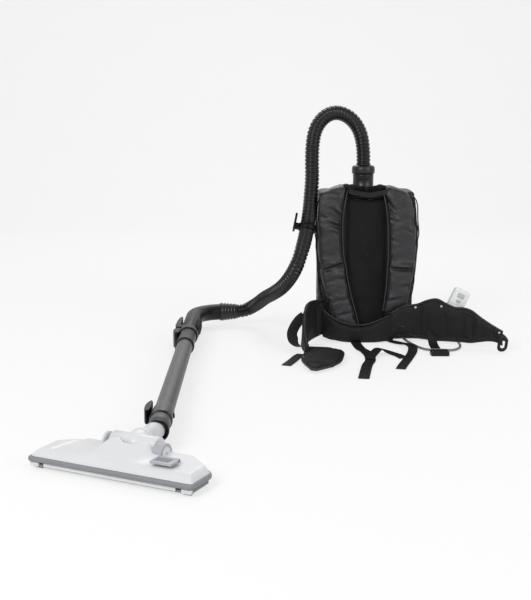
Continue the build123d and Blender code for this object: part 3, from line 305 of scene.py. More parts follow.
def woven(name, colour, rough, pitch, crumple, spec=0.25):
    """Plain weave: two sets of threads at right angles, by their height, and a soft crumple over it."""
    material, tree, bsdf = shader(name, colour, rough, spec=spec)
    place = tree.nodes.new("ShaderNodeTexCoord").outputs["Object"]
    mottle(tree, bsdf, place, colour, rough, 0.15, 22.0)
    rows = [stripes(tree, place, direction, pitch, 0.6, 1.0) for direction in ("X", "Z")]
    weave = wire(tree, "ShaderNodeMath", {"operation": "MULTIPLY"}, in_0=rows[0], in_1=rows[1])
    threads = wire(tree, "ShaderNodeBump", Height=weave.outputs[0], Distance=0.0002, Strength=0.7)
    folds = wire(tree, "ShaderNodeTexNoise", Vector=place, Scale=70.0, Detail=3.0, Roughness=0.5)
    bump = wire(tree, "ShaderNodeBump", Height=folds.outputs["Fac"], Distance=crumple, Strength=0.8,
                Normal=threads.outputs["Normal"])
    tree.links.new(bump.outputs["Normal"], bsdf.inputs["Normal"])
    return material


def air_mesh_cloth(name, colour, cell):
    """Knitted spacer mesh: round openings in a soft net, painted darker in the openings as shade and lighter
    on the net.
    """
    material, tree, bsdf = shader(name, colour, 0.85, spec=0.15)
    place = tree.nodes.new("ShaderNodeTexCoord").outputs["Object"]
    cells = wire(tree, "ShaderNodeTexVoronoi", {"feature": "F1"}, Vector=place, Scale=1 / cell,
                 Randomness=0.25)
    # painted shade: the colour darkens the openings, where shade falls into the holes, and lightens the net
    two_shades(tree, bsdf, cells.outputs["Distance"], (0.18, shade_of(colour, 0.35)),
               (0.42, shade_of(colour, 1.2)))
    bump = wire(tree, "ShaderNodeBump", Height=cells.outputs["Distance"], Distance=0.0012, Strength=0.8)
    tree.links.new(bump.outputs["Normal"], bsdf.inputs["Normal"])
    return material


def band_cloth(name, colour, rough, rib, cord, spec):
    """Woven webbing: ribs across the band and cords along it, read from its own UV map in metres."""
    material, tree, bsdf = shader(name, colour, rough, spec=spec)
    uv = tree.nodes.new("ShaderNodeUVMap")
    uv.uv_map = "band"
    object_place = tree.nodes.new("ShaderNodeTexCoord").outputs["Object"]
    mottle(tree, bsdf, object_place, colour, rough, 0.12, 30.0)
    ribs = stripes(tree, uv.outputs["UV"], "X", rib, 0.4)
    cords = stripes(tree, uv.outputs["UV"], "Y", cord, 0.2)
    both = wire(tree, "ShaderNodeMath", {"operation": "ADD"}, in_0=ribs, in_1=cords)
    bump = wire(tree, "ShaderNodeBump", Height=both.outputs[0], Distance=0.0004, Strength=0.7)
    tree.links.new(bump.outputs["Normal"], bsdf.inputs["Normal"])
    return material


hose_black = moulded("hose_black", srgb(18, 18, 19), 0.27, spec=0.45, grain=0.00003, spread=0.18)
strap_cloth = woven("strap_nylon", srgb(34, 34, 37), 0.36, 0.0011, crumple=0.0028, spec=0.5)
belt_cloth = woven("belt_nylon", srgb(23, 23, 25), 0.62, 0.0013, crumple=0.0010)
side_cloth = woven("side_nylon", srgb(20, 20, 22), 0.6, 0.0012, crumple=0.0012)
pad_mesh = air_mesh_cloth("back_air_mesh", srgb(26, 26, 27), 0.0034)
webbing_cloth = band_cloth("webbing_black", srgb(27, 27, 29), 0.6, rib=0.0016, cord=0.0024, spec=0.25)
thread = moulded("thread_dark", srgb(62, 62, 66), 0.7, grain=0.0001)
piping = moulded("binding_bead", srgb(40, 40, 43), 0.5, grain=0.0002, grain_scale=900.0)
print("finishes", len(bpy.data.materials))

# %% [markdown]
# ## The hose and the control cable
# A hose is one length of something flexible, so it is drawn as one smooth NURBS line through its route.
# It leaves the pack upwards, bends over under its own weight, hangs beside the pack, is caught by a clip
# and runs to the handle on the floor. The control cable lies in a loop on the floor.

# %% Lines of the cords
hose_route = [(-6, 0, 411), (-6, 0, 434), (-8, 0, 460), (-14, -4, 488), (-28, -9, 513), (-48, -16, 530),
              (-72, -24, 538), (-96, -33, 532), (-114, -41, 516), (-126, -47, 493), (-131, -52, 462),
              (-132, -54, 424), (-131, -58, 386), (-134, -66, 349), (-137, -79, 313), (-142, -98, 281),
              (-149, -119, 250), (-158, -134, 220), (-168, -136, 190), (-182, -122, 160), (-200, -90, 131),
              (-221, -42, 107), (-242, 14, 86), (-256, 58, 66), (-272, 88, 50), (-294.96, 94.63, 36),
              (-314.66, 91.15, 36)]
cable_route = [(84, -50, 14), (84, -64, 14), (86, -82, 9), (92, -104, 4.2), (102, -140, 4), (114, -176, 4),
               (128, -204, 5), (146, -214, 7.4), (164, -215, 7.4), (184, -208, 4.4), (203, -190, 4),
               (213, -160, 4), (214, -130, 4.2), (210, -108, 10), (203, -100, 26), (198, -106, 44),
               (190, -113.4, 57.2), (195.05, -113.4, 68.1)]
cable_length, cable_width = 0.396, 0.006


def cord_line(name, route):
    """One smooth open NURBS spline with the route's points as its control points."""
    curve = bpy.data.curves.new(name, "CURVE")
    curve.dimensions = "3D"
    curve.resolution_u = 16
    spline = curve.splines.new("NURBS")
    spline.points.add(len(route) - 1)
    for point, place in zip(spline.points, route):
        point.co = (*(c * MM for c in place), 1)
    spline.order_u = 3
    spline.use_endpoint_u = True
    return new_object(name, curve)


def line_places(line):
    """Places along a curve that has no bevel."""
    bpy.context.view_layer.update()
    mesh = bpy.data.meshes.new_from_object(line.evaluated_get(bpy.context.evaluated_depsgraph_get()))
    places = [v.co.copy() for v in mesh.vertices]
    bpy.data.meshes.remove(mesh)
    return places


hose_line = cord_line("hose", hose_route)
hose_places = line_places(hose_line)
print("hose line", round(sum((b - a).length for a, b in zip(hose_places, hose_places[1:])), 3), "m")

# %% [markdown]
# The corrugated wall repeats along the line, so a node tree makes it: sweep a round profile, remember how
# far along the hose each point is, and push the wall out where a rib stands. Each rib has a shallow dip
# along its crown, which gives the twin glints that such hoses show.

# %% Corrugated hose
rib_tree = Tree("hose_ribs", step=0.00073, radius=0.0149, depth=0.0024, pitch=0.0088, sides=26)
even = rib_tree.add("GeometryNodeResampleCurve", Curve=rib_tree.input.outputs["Geometry"])
if "Mode" in even.inputs:
    even.inputs["Mode"].default_value = "Length"
else:
    even.mode = "LENGTH"
rib_tree.tree.links.new(rib_tree.size("step"), even.inputs["Length"])
along = rib_tree.add("GeometryNodeSplineParameter")
kept = rib_tree.add("GeometryNodeCaptureAttribute", Geometry=even)
kept.capture_items.new("FLOAT", "along")
rib_tree.tree.links.new(along.outputs["Length"], kept.inputs[1])
ring = rib_tree.add("GeometryNodeCurvePrimitiveCircle", Resolution=rib_tree.size("sides"),
                    Radius=rib_tree.size("radius"))
wall = rib_tree.add("GeometryNodeCurveToMesh", Curve=kept.outputs[0], Profile_Curve=ring.outputs["Curve"])
turns = rib_tree.math("MULTIPLY", rib_tree.math("DIVIDE", kept.outputs[1], rib_tree.size("pitch")), math.pi)
wave = rib_tree.math("POWER", rib_tree.math("SINE", turns), 2.0)
soft_step = {"interpolation_type": "SMOOTHSTEP"}
crown = rib_tree.add("ShaderNodeMapRange", soft_step, Value=wave, From_Min=0.08, From_Max=0.55)
dip = rib_tree.add("ShaderNodeMapRange", soft_step, Value=wave, From_Min=0.8, From_Max=1.0)
height = rib_tree.math("MULTIPLY", rib_tree.math("SUBTRACT", crown, rib_tree.math("MULTIPLY", dip, 0.45)),
                       rib_tree.size("depth"))
out = rib_tree.add("GeometryNodeInputNormal")
push = rib_tree.add("ShaderNodeVectorMath", {"operation": "SCALE"}, in_0=out.outputs["Normal"], Scale=height)
ribbed = rib_tree.add("GeometryNodeSetPosition", Geometry=wall, Offset=push)
soft = rib_tree.add("GeometryNodeSetShadeSmooth", Geometry=ribbed)
rib_tree.end(soft, hose_black)
hose = rib_tree.run(hose_line)
hose.name = "corrugated_hose"
finish(hose, "pack", hose_black, "hose", "hose_tube")
print("hose faces", len(hose.data.polygons))

# %% [markdown]
# The cable is a plain round skin on its own line, so the curve itself gets a bevel.

# %% Control cable
cable = cord_line("control_cable_skin", cable_route)
cable.data.bevel_depth = cable_width / 2
cable.data.bevel_resolution = 5
finish(cable, "pack", cable_skin, "cable", "control_cable")

# %% [markdown]
# ## Turned and softened parts
# Round parts are turned from a profile, as on a lathe. The rest of the hard parts are already right in
# the CAD, but their edges are knife sharp, so a merged copy gets rounded edges and stands for the node.

# %% Lathe
def frame_along(origin, direction, up=(0, 0, 1)):
    """Matrix whose z axis points along a direction; origin in mm."""
    z = Vector(direction).normalized()
    x = Vector(up).cross(z)
    if x.length < 1e-4:
        x = Vector((1, 0, 0))
    x.normalize()
    place = Matrix((x, z.cross(x), z)).transposed().to_4x4()
    place.translation = Vector(origin) * MM
    return place


def ring_faces(rings, sides, closed=True):
    """Quads between rings of equally many points; closed joins the last ring to the first."""
    spans = rings if closed else rings - 1
    return [(k * sides + j, k * sides + (j + 1) % sides, (k + 1) % rings * sides + (j + 1) % sides,
             (k + 1) % rings * sides + j) for k in range(spans) for j in range(sides)]


def turned(name, place, profile, sides=64):
    """Closed ring of a profile of (radius, height) points in mm, in order around its section."""
    verts = []
    for i in range(sides):
        a = math.tau * i / sides
        verts += [place @ (Vector((r * math.cos(a), r * math.sin(a), h)) * MM) for r, h in profile]
    return tidy(mesh_object(name, verts, ring_faces(sides, len(profile))))


def tidy(obj, merge=1e-6):
    """Merge doubles, unless merge is 0, and turn every face outwards."""
    bm = bmesh.new()
    bm.from_mesh(obj.data)
    if merge:
        bmesh.ops.remove_doubles(bm, verts=bm.verts, dist=merge)
    bmesh.ops.recalc_face_normals(bm, faces=bm.faces)
    bm.to_mesh(obj.data)
    bm.free()
    return obj


def rounded(obj, width, segments=2):
    """Round the edges of a mesh that turn by more than 32 degrees, then keep the result."""
    bevel = obj.modifiers.new("edge", "BEVEL")
    bevel.width = width * MM
    bevel.segments = segments
    bevel.limit_method = "ANGLE"
    bevel.angle_limit = math.radians(32)
    bevel.harden_normals = True
    return baked(obj)


def softened(node, name, width):
    """Copy of a CAD node with its doubles merged, flat faces joined and edges rounded."""
    obj = new_object(name, nodes[node].data.copy())
    bm = bmesh.new()
    bm.from_mesh(obj.data)
    bmesh.ops.remove_doubles(bm, verts=bm.verts, dist=2e-6)
    bmesh.ops.dissolve_limit(bm, angle_limit=math.radians(0.4), verts=bm.verts, edges=bm.edges)
    bm.to_mesh(obj.data)
    bm.free()
    return rounded(smoothed(obj), width)

# %% [markdown]
# ## Casings and moulded parts
# From behind, the pack is a black lid over a teal band with the vents and a black base with two bays.
# These and the other hard mouldings are softened copies of their CAD nodes, each with the width of its
# edge in mm, its body, its finish and its slot. Screws, ribs and a raised panel are added further on.

# %% Casings
soft_nodes = [
    ("base_housing", "base_casing", 1.2, "pack", black_plastic, "black_shell"),
    ("back_frame", "back_frame_casing", 0.8, "pack", black_plastic, "black_shell"),
    ("rear_shell", "rear_casing", 0.8, "pack", teal_plastic, "teal_shell"),
    ("exhaust_grille", "exhaust_louvres", 0.35, "pack", black_plastic, "grille"),
    ("rear_lid", "lid_casing", 0.8, "lid", black_plastic, "black_shell"),
    ("lid_latch", "lid_latch_key", 0.4, "latch", satin_black, "black_shell"),
    ("battery_left", "battery_left_case", 1.2, "battery_l", battery_plastic, "battery"),
    ("battery_right", "battery_right_case", 1.2, "battery_r", battery_plastic, "battery"),
    ("battery_button_left", "battery_left_key", 0.5, "release_l", button_red, "battery_button"),
    ("battery_button_right", "battery_right_key", 0.5, "release_r", button_red, "battery_button"),
    ("rubber_feet", "feet", 0.5, "pack", rubber, "rubber"),
    ("elbow_pipe", "handle_pipe", 0.8, "pack", charcoal_plastic, "handle"),
    ("relief_slider", "relief_shutter", 0.8, "relief", lever_plastic, "lever"),
    ("nozzle_base", "nozzle_sole", 0.4, "nozzle", bumper_rubber, "nozzle_grey"),
    ("floor_pedal", "nozzle_pedal", 0.9, "pedal", hub_plastic, "pedal"),
    ("rear_wheels", "nozzle_wheels", 0.6, "wheels", rubber, "rubber"),
    ("front_rollers", "nozzle_rollers", 0.5, "rollers", bumper_rubber, "rubber"),
    ("control_box", "control_casing", 0.8, "pack", pale_plastic, "control"),
    ("power_button", "power_key_cap", 0.5, "power_key", key_plastic, "key"),
    ("mode_button", "mode_key_cap", 0.4, "mode_key", key_plastic, "key"),
    ("hose_hook", "hose_clip", 1.0, "pack", lever_plastic, "lever"),
]
softs = {}
for node, name, width, body, material, slot in soft_nodes:
    softs[node] = finish(softened(node, name, width), body, material, slot, node)
print("softened", len(softs))

# %% [markdown]
# The clip grips the hose a little lower than its plain form does, so it is carried down along the hose.

# %% Move the hose clip
was_at, was_along = Vector((-139.5, -88.5, 297)), (-5, -19, -32)
front_way = (0, 1, 0)


def hanging_hose(height):
    """Place in mm where the hanging part of the hose is at a height."""
    hanging = (p / MM for p in hose_places if (p / MM - was_at).length < 60)
    return min(hanging, key=lambda p: abs(p.z - height))


lower = hanging_hose(271)
carry = (frame_along(lower, hanging_hose(255) - lower, up=front_way)
         @ frame_along(was_at, was_along, up=front_way).inverted())
softs["hose_hook"].data.transform(carry)
print("clip carried down by", round(was_at.z - lower.z, 1), "mm")

# %% [markdown]
# What stays inside keeps its CAD shape and only gets its own material.

# %% Inner parts
inner = {
    "base_plate": black_plastic, "hinge_pins": steel, "motor_plate": black_plastic,
    "motor_filter": filter_foam, "bag_collar": bag_card,
    "inlet_socket": satin_black, "motor_housing": black_plastic, "motor_stator": copper_winding,
    "motor_bearings": steel, "motor_shaft": steel, "fan_impeller": impeller_plastic,
    "circuit_board": circuit_green, "wand_inner_tube": inner_metal,
}


def coat_node(node, material):
    """Give a CAD node that shows itself its material."""
    nodes[node].data.materials.clear()
    nodes[node].data.materials.append(material)


for node, material in inner.items():
    coat_node(node, material)
print("inner parts", len(inner))

# %% [markdown]
# ## The harness
# Straps, belt wings and webbing are all bands: a cross-section that travels along a line while its width
# and thickness change. A station gives the middle of the section, half its width and half its thickness as
# vectors in mm, and a smooth curve runs through the stations.

# %% Bands
def through(values, count):
    """Catmull-Rom values through a list of equal tuples, count steps on each span."""
    result = []
    for i in range(len(values) - 1):
        a, b, c, d = (values[min(max(k, 0), len(values) - 1)] for k in (i - 1, i, i + 1, i + 2))
        for step in range(count):
            t = step / count
            result.append(tuple(0.5 * (2 * q + (r - p) * t + (2 * p - 5 * q + 4 * r - s) * t * t
                                       + (3 * q - p - 3 * r + s) * t ** 3) for p, q, r, s in zip(a, b, c, d)))
    result.append(tuple(values[-1]))
    return result


def band(name, stations, count=6, around=24, square=0.45, crown=0.75):
    """Closed band through stations of (middle, half width, half thickness), with a UV map in metres.

    square shapes the edges across the width and crown the rise of its two faces; both 1 is an ellipse.
    """
    flat = [tuple(v for part in station for v in part) for station in stations]
    rows = [(Vector(r[0:3]), Vector(r[3:6]), Vector(r[6:9])) for r in through(flat, count)]
    verts, uvs, run = [], [], 0.0
    angles = [math.tau * j / around for j in range(around)]
    shape = [(math.copysign(abs(math.cos(a)) ** square, math.cos(a)),
              math.copysign(abs(math.sin(a)) ** crown, math.sin(a))) for a in angles]
    for i, (middle, wide, thick) in enumerate(rows):
        if i:
            run += (middle - rows[i - 1][0]).length
        for across, rise in shape:
            verts.append((middle + wide * across + thick * rise) * MM)
            uvs.append((run * MM, across * wide.length * MM))
    faces = ring_faces(len(rows), around, closed=False)
    faces.append(tuple(range(around))[::-1])
    faces.append(tuple((len(rows) - 1) * around + j for j in range(around)))
    obj = mesh_object(name, verts, faces)
    layer = obj.data.uv_layers.new(name="band")
    for loop in obj.data.loops:
        layer.data[loop.index].uv = uvs[loop.vertex_index]
    return tidy(obj, merge=0)


def rumple(obj, amount, size, stretch=(1, 1, 1), seed=0.0, where=None):
    """Push a mesh in and out along its normals by smooth noise; amount and size in mm."""
    mesh = obj.data
    normals = [v.normal.copy() for v in mesh.vertices]
    for vertex, normal in zip(mesh.vertices, normals):
        spot = Vector(c * s / (size * MM) for c, s in zip(vertex.co, stretch)) + Vector((seed, seed, seed))
        share = 1.0 if where is None else where(vertex.co / MM)
        value = noise.noise(spot) + 0.4 * noise.noise(spot * 2.3)
        vertex.co += normal * (value * amount * MM * share)
    mesh.update()
    return obj


def refined(obj):
    """Subdivide a mesh once and keep the result."""
    sub = obj.modifiers.new("smooth", "SUBSURF")
    sub.levels = sub.render_levels = 1
    return baked(obj)


def cushion(obj, name, material, slot, fill, *replaced):
    """Name and finish a padded piece of the pack."""
    obj.name = name
    finish(obj, "pack", material, slot, *replaced)
    return obj

# %% [markdown]
# Padding is swollen by a short cloth simulation: no gravity, a little air pressure inside, cloth cut
# slightly too large so that it buckles into folds, and a cap on how far any point may go. The seams are
# pinned, so the folds gather along them as they do on sewn pads.

# %% Swell a pad
def swell(obj, held, pressure, slack, cap, frames=20):
    """Cloth pressure on a closed mesh; held(place in mm) says which points are sewn down.

    slack is the share by which the cloth is cut too large, cap the furthest move of a point in mm.
    """
    group = obj.vertex_groups.new(name="sewn")
    sewn = [v.index for v in obj.data.vertices if held(v.co / MM)]
    group.add(sewn, 1.0, "REPLACE")
    start = [v.co.copy() for v in obj.data.vertices]
    cloth = obj.modifiers.new("swell", "CLOTH")
    rules = cloth.settings
    rules.quality = 6
    rules.mass = 0.25
    rules.use_pressure = True
    rules.uniform_pressure_force = pressure
    rules.shrink_min = -slack
    rules.tension_stiffness = rules.compression_stiffness = 12
    rules.bending_stiffness = 0.3
    rules.effector_weights.gravity = 0
    rules.vertex_group_mass = "sewn"
    cloth.collision_settings.use_collision = False
    cloth.point_cache.frame_start, cloth.point_cache.frame_end = 1, frames
    for step in range(1, frames + 1):
        scene.frame_set(step)
    after = obj.evaluated_get(bpy.context.evaluated_depsgraph_get()).data
    moved = [v.co.copy() for v in after.vertices]
    obj.modifiers.clear()
    scene.frame_set(1)
    for vertex, old, new in zip(obj.data.vertices, start, moved):
        step = new - old
        if step.length > cap * MM:
            step *= cap * MM / step.length
        vertex.co = old + step
    obj.data.update()
    most = max((v.co - old).length for v, old in zip(obj.data.vertices, start))
    print(obj.name, "swollen by", round(most / MM, 1), "mm at most")
    return obj


def evened(obj, size):
    """Remesh a closed mesh into even faces of a size in mm."""
    grid = obj.modifiers.new("even", "REMESH")
    grid.mode = "VOXEL"
    grid.voxel_size = size * MM
    return baked(obj)

# %% [markdown]
# Edges of sewn pads are bound with a round piping.

# %% Piping
def bead(name, points, radius, slot="strap_nylon", count=5):
    """Round piping along a run of points in mm, as a plain mesh."""
    places = through(points, count)
    curve = bpy.data.curves.new(name, "CURVE")
    curve.dimensions = "3D"
    line = curve.splines.new("POLY")
    line.points.add(len(places) - 1)
    for point, place in zip(line.points, places):
        point.co = (*(c * MM for c in place), 1)
    curve.bevel_depth = radius * MM
    curve.bevel_resolution = 2
    curve.use_fill_caps = True
    return finish(smoothed(baked(new_object(name, curve))), "pack", piping, slot)

# %% [markdown]
# ### The dust bag
# The fleece bag behind the lid hangs from its card collar. It is remeshed from the CAD block, drawn in a
# little, filled by the same cloth pressure and wrinkled.

# %% Dust bag
bag_low, bag_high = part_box("dust_bag")
bag = tidy(new_object("dust_bag_fleece", nodes["dust_bag"].data.copy()))
bag_middle, bag_share = (bag_low + bag_high) / 2, 0.93
for vertex in bag.data.vertices:
    for axis in range(3):
        vertex.co[axis] = bag_middle[axis] + (vertex.co[axis] - bag_middle[axis]) * bag_share
bag = evened(bag, 5.5)
swell(bag, lambda p: p.z > bag_high.z / MM - 10, pressure=3.0, slack=0.05, cap=3.5)
rumple(bag, 2.2, 30.0, stretch=(1.3, 1.3, 0.5), seed=21.0)
bag = smoothed(refined(bag))
cushion(bag, "dust_bag_fleece", bag_paper, "bag_paper", 0.3, "dust_bag")

# %% [markdown]
# ### The back pad
# The pad rests on the casing at its back and is crowned in front. It is remeshed evenly from the CAD
# block, held where it touches the casing, and swollen. Its middle is air mesh, its sides dull nylon.

# %% Back pad
pad_low, pad_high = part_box("back_pad")
pad = tidy(new_object("back_pad_cushion", nodes["back_pad"].data.copy()))
pad_depth_share = 0.62  # the swelling fills the rest of the CAD block
for vertex in pad.data.vertices:
    vertex.co.x *= 0.995
    vertex.co.z = pad_low.z + (vertex.co.z - pad_low.z) * 0.99 + 0.001
    vertex.co.y = pad_high.y + (vertex.co.y - pad_high.y) * pad_depth_share
pad = evened(pad, 6.0)
swell(pad, lambda p: p.y > pad_high.y / MM - 2, pressure=4.0, slack=0.02, cap=9.0)

# %% [markdown]
# Two upright channels and a short level one are sewn into the front. They also part the mesh from the
# nylon.

# %% Channels of the pad
mesh_left, mesh_right, mesh_row, front_y = -52.0, 45.0, 96.0, -60


def channel(x, z):
    """Depth in mm of the sewn channels at a place on the pad's front."""
    depth = sum(5.0 * math.exp(-((x - middle) / 3.2) ** 2) for middle in (mesh_left, mesh_right))
    return depth + 2.0 * math.exp(-((z - mesh_row) / 3.0) ** 2) * (abs(x) < 60)


for vertex in pad.data.vertices:
    p = vertex.co / MM
    if p.y < front_y:
        vertex.co.y += channel(p.x, p.z) * MM * min(1.0, (front_y - p.y) / 6)
rumple(pad, 1.3, 34.0, stretch=(1, 1, 0.6), seed=3.1, where=lambda p: 1.0 if p.y < -58 else 0.0)
pad = cushion(refined(pad), "back_pad_cushion", [side_cloth, pad_mesh], "pad_mesh", 0.7, "back_pad")
for face in smoothed(pad).data.polygons:
    middle = face.center / MM
    face.material_index = 1 if mesh_left < middle.x < mesh_right and middle.y < front_y else 0

# %% [markdown]
# Two rings of piping follow the swollen rim itself: the farthest point of the pad in each direction.

# %% Piping of the pad
def rim_of(obj, y, spread, inset, count=72):
    """Outline in mm of a mesh's slice around y, seen from the front."""
    near = [v.co / MM for v in obj.data.vertices if abs(v.co.y / MM - y) < spread]
    middle_z = sum(p.z for p in near) / len(near)
    run = []
    for k in range(count + 1):
        a = math.tau * k / count
        c, s = math.cos(a), math.sin(a)
        sector = [p for p in near if p.x * c + (p.z - middle_z) * s > 0
                  and abs(p.x * s - (p.z - middle_z) * c) < 7]
        far = max(sector, key=lambda p: p.x * c + (p.z - middle_z) * s)
        reach = far.x * c + (far.z - middle_z) * s - inset
        run.append((c * reach, y, middle_z + s * reach))
    return run


pad_front, pad_rear = (pick(v.co.y / MM for v in pad.data.vertices) for pick in (min, max))
print("pad depths", round(pad_front, 1), round(pad_rear, 1))
for share, tag, inset in ((0.25, "rear", 1.0), (0.7, "front", 3.2)):
    depth = pad_rear + (pad_front - pad_rear) * share
    bead("pad_piping_" + tag, rim_of(pad, depth, 2.0, inset), 1.5, slot="pad_mesh", count=2)

# %% [markdown]
# ### The shoulder straps
# Each strap comes over the top of the pack, runs down the front as a wide pad, makes a fold at its middle
# and leans inwards below it. The cloth is a shiny coated nylon with piping along both edges.

# %% Shoulder straps
def strap_stations(edges):
    """Stations of a strap from its two edges (left x, right x, z) down the front."""
    left, right = edges[0][0], edges[0][1]
    middle, half = (left + right) / 2, (right - left) / 2 - 1
    tilt = math.copysign(8.0, -middle)
    stations = [((middle, -38, 357.5), (half - 3, 0, tilt * 0.9), (0, 0, 4.5)),
                ((middle, -58, 358.0), (half - 1, 0, tilt), (0, -1, 5.5)),
                ((middle, -76, 354.5), (half, 0, tilt), (0, -4, 7)),
                ((middle, -86, 346), (half, 0, tilt * 0.6), (0, -8, 5))]
    for x0, x1, z in edges[1:]:
        stations.append((((x0 + x1) / 2, -87.2, z), ((x1 - x0) / 2, 0, 0), (0, -9.2, 0)))
    return stations


# both edges of each strap down the front: left x, right x, z
left_edges = [(-112, -49, 362), (-113, -56, 328), (-114, -60, 290), (-114, -60, 250), (-113, -57, 208),
              (-108, -51, 180), (-106, -48, 158), (-95, -39, 115), (-81, -26, 68), (-70, -16, 26)]
right_edges = [(33, 92, 362), (40, 99, 328), (45, 104, 290), (47, 108, 250), (48, 108, 208),
               (47, 107, 180), (46, 104, 158), (43, 97, 118), (38, 90, 76)]
# creases pulled into each strap: two ends (x, z), depth and half width in mm
creases = {
    "left": [(-110, 168, -53, 187, 8.0, 4.6), (-112, 178, -84, 186, 3.0, 4.0), (-88, 316, -61, 298, 6.5, 3.8),
             (-90, 303, -61, 285, 5.0, 3.2), (-92, 284, -61, 270, 6.0, 3.8), (-84, 262, -60, 252, 4.5, 3.4),
             (-112, 300, -96, 292, 2.5, 4.0), (-100, 140, -76, 150, 2.0, 5.0), (-80, 96, -40, 104, 2.5, 4.5),
             (-74, 60, -34, 72, 2.5, 4.0), (-100, 345, -70, 332, 2.5, 5.0)],
    "right": [(50, 176, 106, 171, 7.5, 4.6), (72, 184, 107, 182, 4.0, 4.0), (38, 340, 66, 306, 6.5, 3.8),
              (42, 318, 66, 298, 5.5, 3.4), (46, 292, 70, 286, 3.0, 3.5), (84, 268, 108, 258, 3.0, 4.0),
              (47, 246, 66, 240, 3.0, 3.5), (80, 130, 102, 136, 2.5, 4.5), (42, 96, 74, 104, 3.0, 4.0)]}


# %% [markdown]
# A crease is a sharp valley with a soft lip above it. It is pressed into the swollen cloth afterwards,
# because a short simulation makes soft folds only.

# %% Press creases
def crease(strap, lines):
    """Press sharp valleys with a soft lip above them into the front of a strap."""
    for vertex in strap.data.vertices:
        p = vertex.co / MM
        if p.y > -84:
            continue
        push = 0.0
        for x0, z0, x1, z1, depth, half in lines:
            run = Vector((x1 - x0, z1 - z0))
            t = min(1.0, max(0.0, ((p.x - x0) * run.x + (p.z - z0) * run.y) / run.length_squared))
            off = Vector((p.x - x0 - run.x * t, p.z - z0 - run.y * t))
            if off.length > 4 * half:
                continue
            fade = 0.35 + 0.65 * math.sin(math.pi * min(0.92, max(0.08, t)))
            push += depth * fade * math.exp(-(off.length / half) ** 2)
            lip = ((off.y - 1.9 * half) / (1.1 * half)) ** 2 + (off.x / (2.2 * half)) ** 2
            push -= 0.55 * depth * fade * math.exp(-lip)
        vertex.co.y += push * MM
    strap.data.update()


def fold_share(p):
    """Folds are deepest near the bend at the strap's middle and near its top."""
    near = math.exp(-((p.z - 180) / 26) ** 2) + 0.8 * math.exp(-((p.z - 300) / 34) ** 2)
    return (0.35 + near) if p.y < -82 else 0.15


# %% [markdown]
# Now both straps are made: a band, swollen, wrinkled in two sizes, subdivided, creased and piped.

# %% Make the straps
for side, edges, seed in (("left", left_edges, 1.7), ("right", right_edges, 8.3)):
    strap = band("strap_" + side, strap_stations(edges), count=10, around=40, square=0.55, crown=0.72)
    swell(strap, lambda p: p.y > -80 and p.z < 345, pressure=5.0, slack=0.07, cap=5.0)
    rumple(strap, 3.0, 30.0, stretch=(0.9, 0.2, 2.0), seed=seed, where=fold_share)
    rumple(strap, 1.4, 13.0, stretch=(0.7, 0.2, 1.6), seed=seed + 5, where=fold_share)
    strap = refined(strap)
    crease(strap, creases[side])
    cushion(strap, "shoulder_strap_" + side + "_padded", strap_cloth, "strap_nylon", 0.6,
            "shoulder_strap_" + side)
    outer, inner_edge = (0, 1) if side == "left" else (1, 0)
    for tag, pick, drop in (("outer", outer, -12), ("inner", inner_edge, -1)):
        run = [(edge[pick], -93.0 if edge[2] < 350 else -86.0, edge[2] - 2 + (drop if edge[2] > 350 else 0))
               for edge in edges]
        bead("strap_" + side + "_piping_" + tag, run, 1.7)

# %% [markdown]
# Sewn seams are rows of short stitches. One tree lays small rounded threads along any line.

# %% Stitches
def stitches(name, points, pitch=6.0, length=3.6, radius=0.45, slot="strap_nylon"):
    """Threads along a run of points, all in mm."""
    places = through(points, 6)
    verts = [tuple(c * MM for c in p) for p in places]
    line = bpy.data.meshes.new(name)
    line.from_pydata(verts, [(i, i + 1) for i in range(len(verts) - 1)], [])
    obj = new_object(name, line)
    tree = Tree(name + "_tree", pitch=pitch * MM, length=length * MM, radius=radius * MM)
    curve = tree.add("GeometryNodeMeshToCurve", Mesh=tree.input.outputs["Geometry"])
    spots = tree.add("GeometryNodeCurveToPoints", {"mode": "LENGTH"}, Curve=curve, Length=tree.size("pitch"))
    stitch = tree.add("GeometryNodeMeshCylinder", Vertices=6, Radius=tree.size("radius"),
                      Depth=tree.size("length"))
    each = tree.add("GeometryNodeInstanceOnPoints", Points=spots.outputs["Points"],
                    Instance=stitch.outputs["Mesh"], Rotation=spots.outputs["Rotation"])
    tree.end(each, thread)
    return finish(tree.run(obj), "pack", thread, slot)


for side, edges in (("left", left_edges), ("right", right_edges)):
    for tag, share in (("a", 0.1), ("b", 0.9)):
        run = [(x0 + (x1 - x0) * share, -95.6, z) for x0, x1, z in edges[1:]]
        stitches("strap_" + side + "_stitches_" + tag, run)

# %% [markdown]
# ### The yoke and the grab loop
# Between the straps a gathered cloth yoke closes the top of the pad, and a webbing loop hangs in front
# of it, which lifts the machine.

# %% Yoke
yoke_stations = [((-86, -52, 355), (0, -14, 3), (0, -2, 6)), ((-62, -56, 358), (0, -18, 5), (0, -2, 8)),
                 ((-36, -58, 358), (0, -19, 6), (0, -2, 9)), ((-16, -62, 355), (0, -17, 9), (0, -3, 8)),
                 ((-5, -64, 353), (0, -15, 10), (0, -3, 7)), ((8, -62, 355), (0, -17, 9), (0, -3, 8)),
                 ((26, -58, 358), (0, -19, 6), (0, -2, 9)), ((48, -54, 356), (0, -17, 4), (0, -2, 7)),
                 ((66, -50, 352), (0, -13, 2), (0, -2, 5))]
yoke = band("top_yoke", yoke_stations, count=8, around=26, square=0.6, crown=0.7)
swell(yoke, lambda p: p.x < -80 or p.x > 60, pressure=3.0, slack=0.06, cap=4.0)
rumple(yoke, 3.2, 18.0, stretch=(2.4, 0.6, 0.6), seed=4.4)
cushion(refined(yoke), "top_yoke", side_cloth, "strap_nylon", 0.3)

# %% [markdown]
# The grab loop is a flat band on edge, sewn down by two bars of stitches at each end.

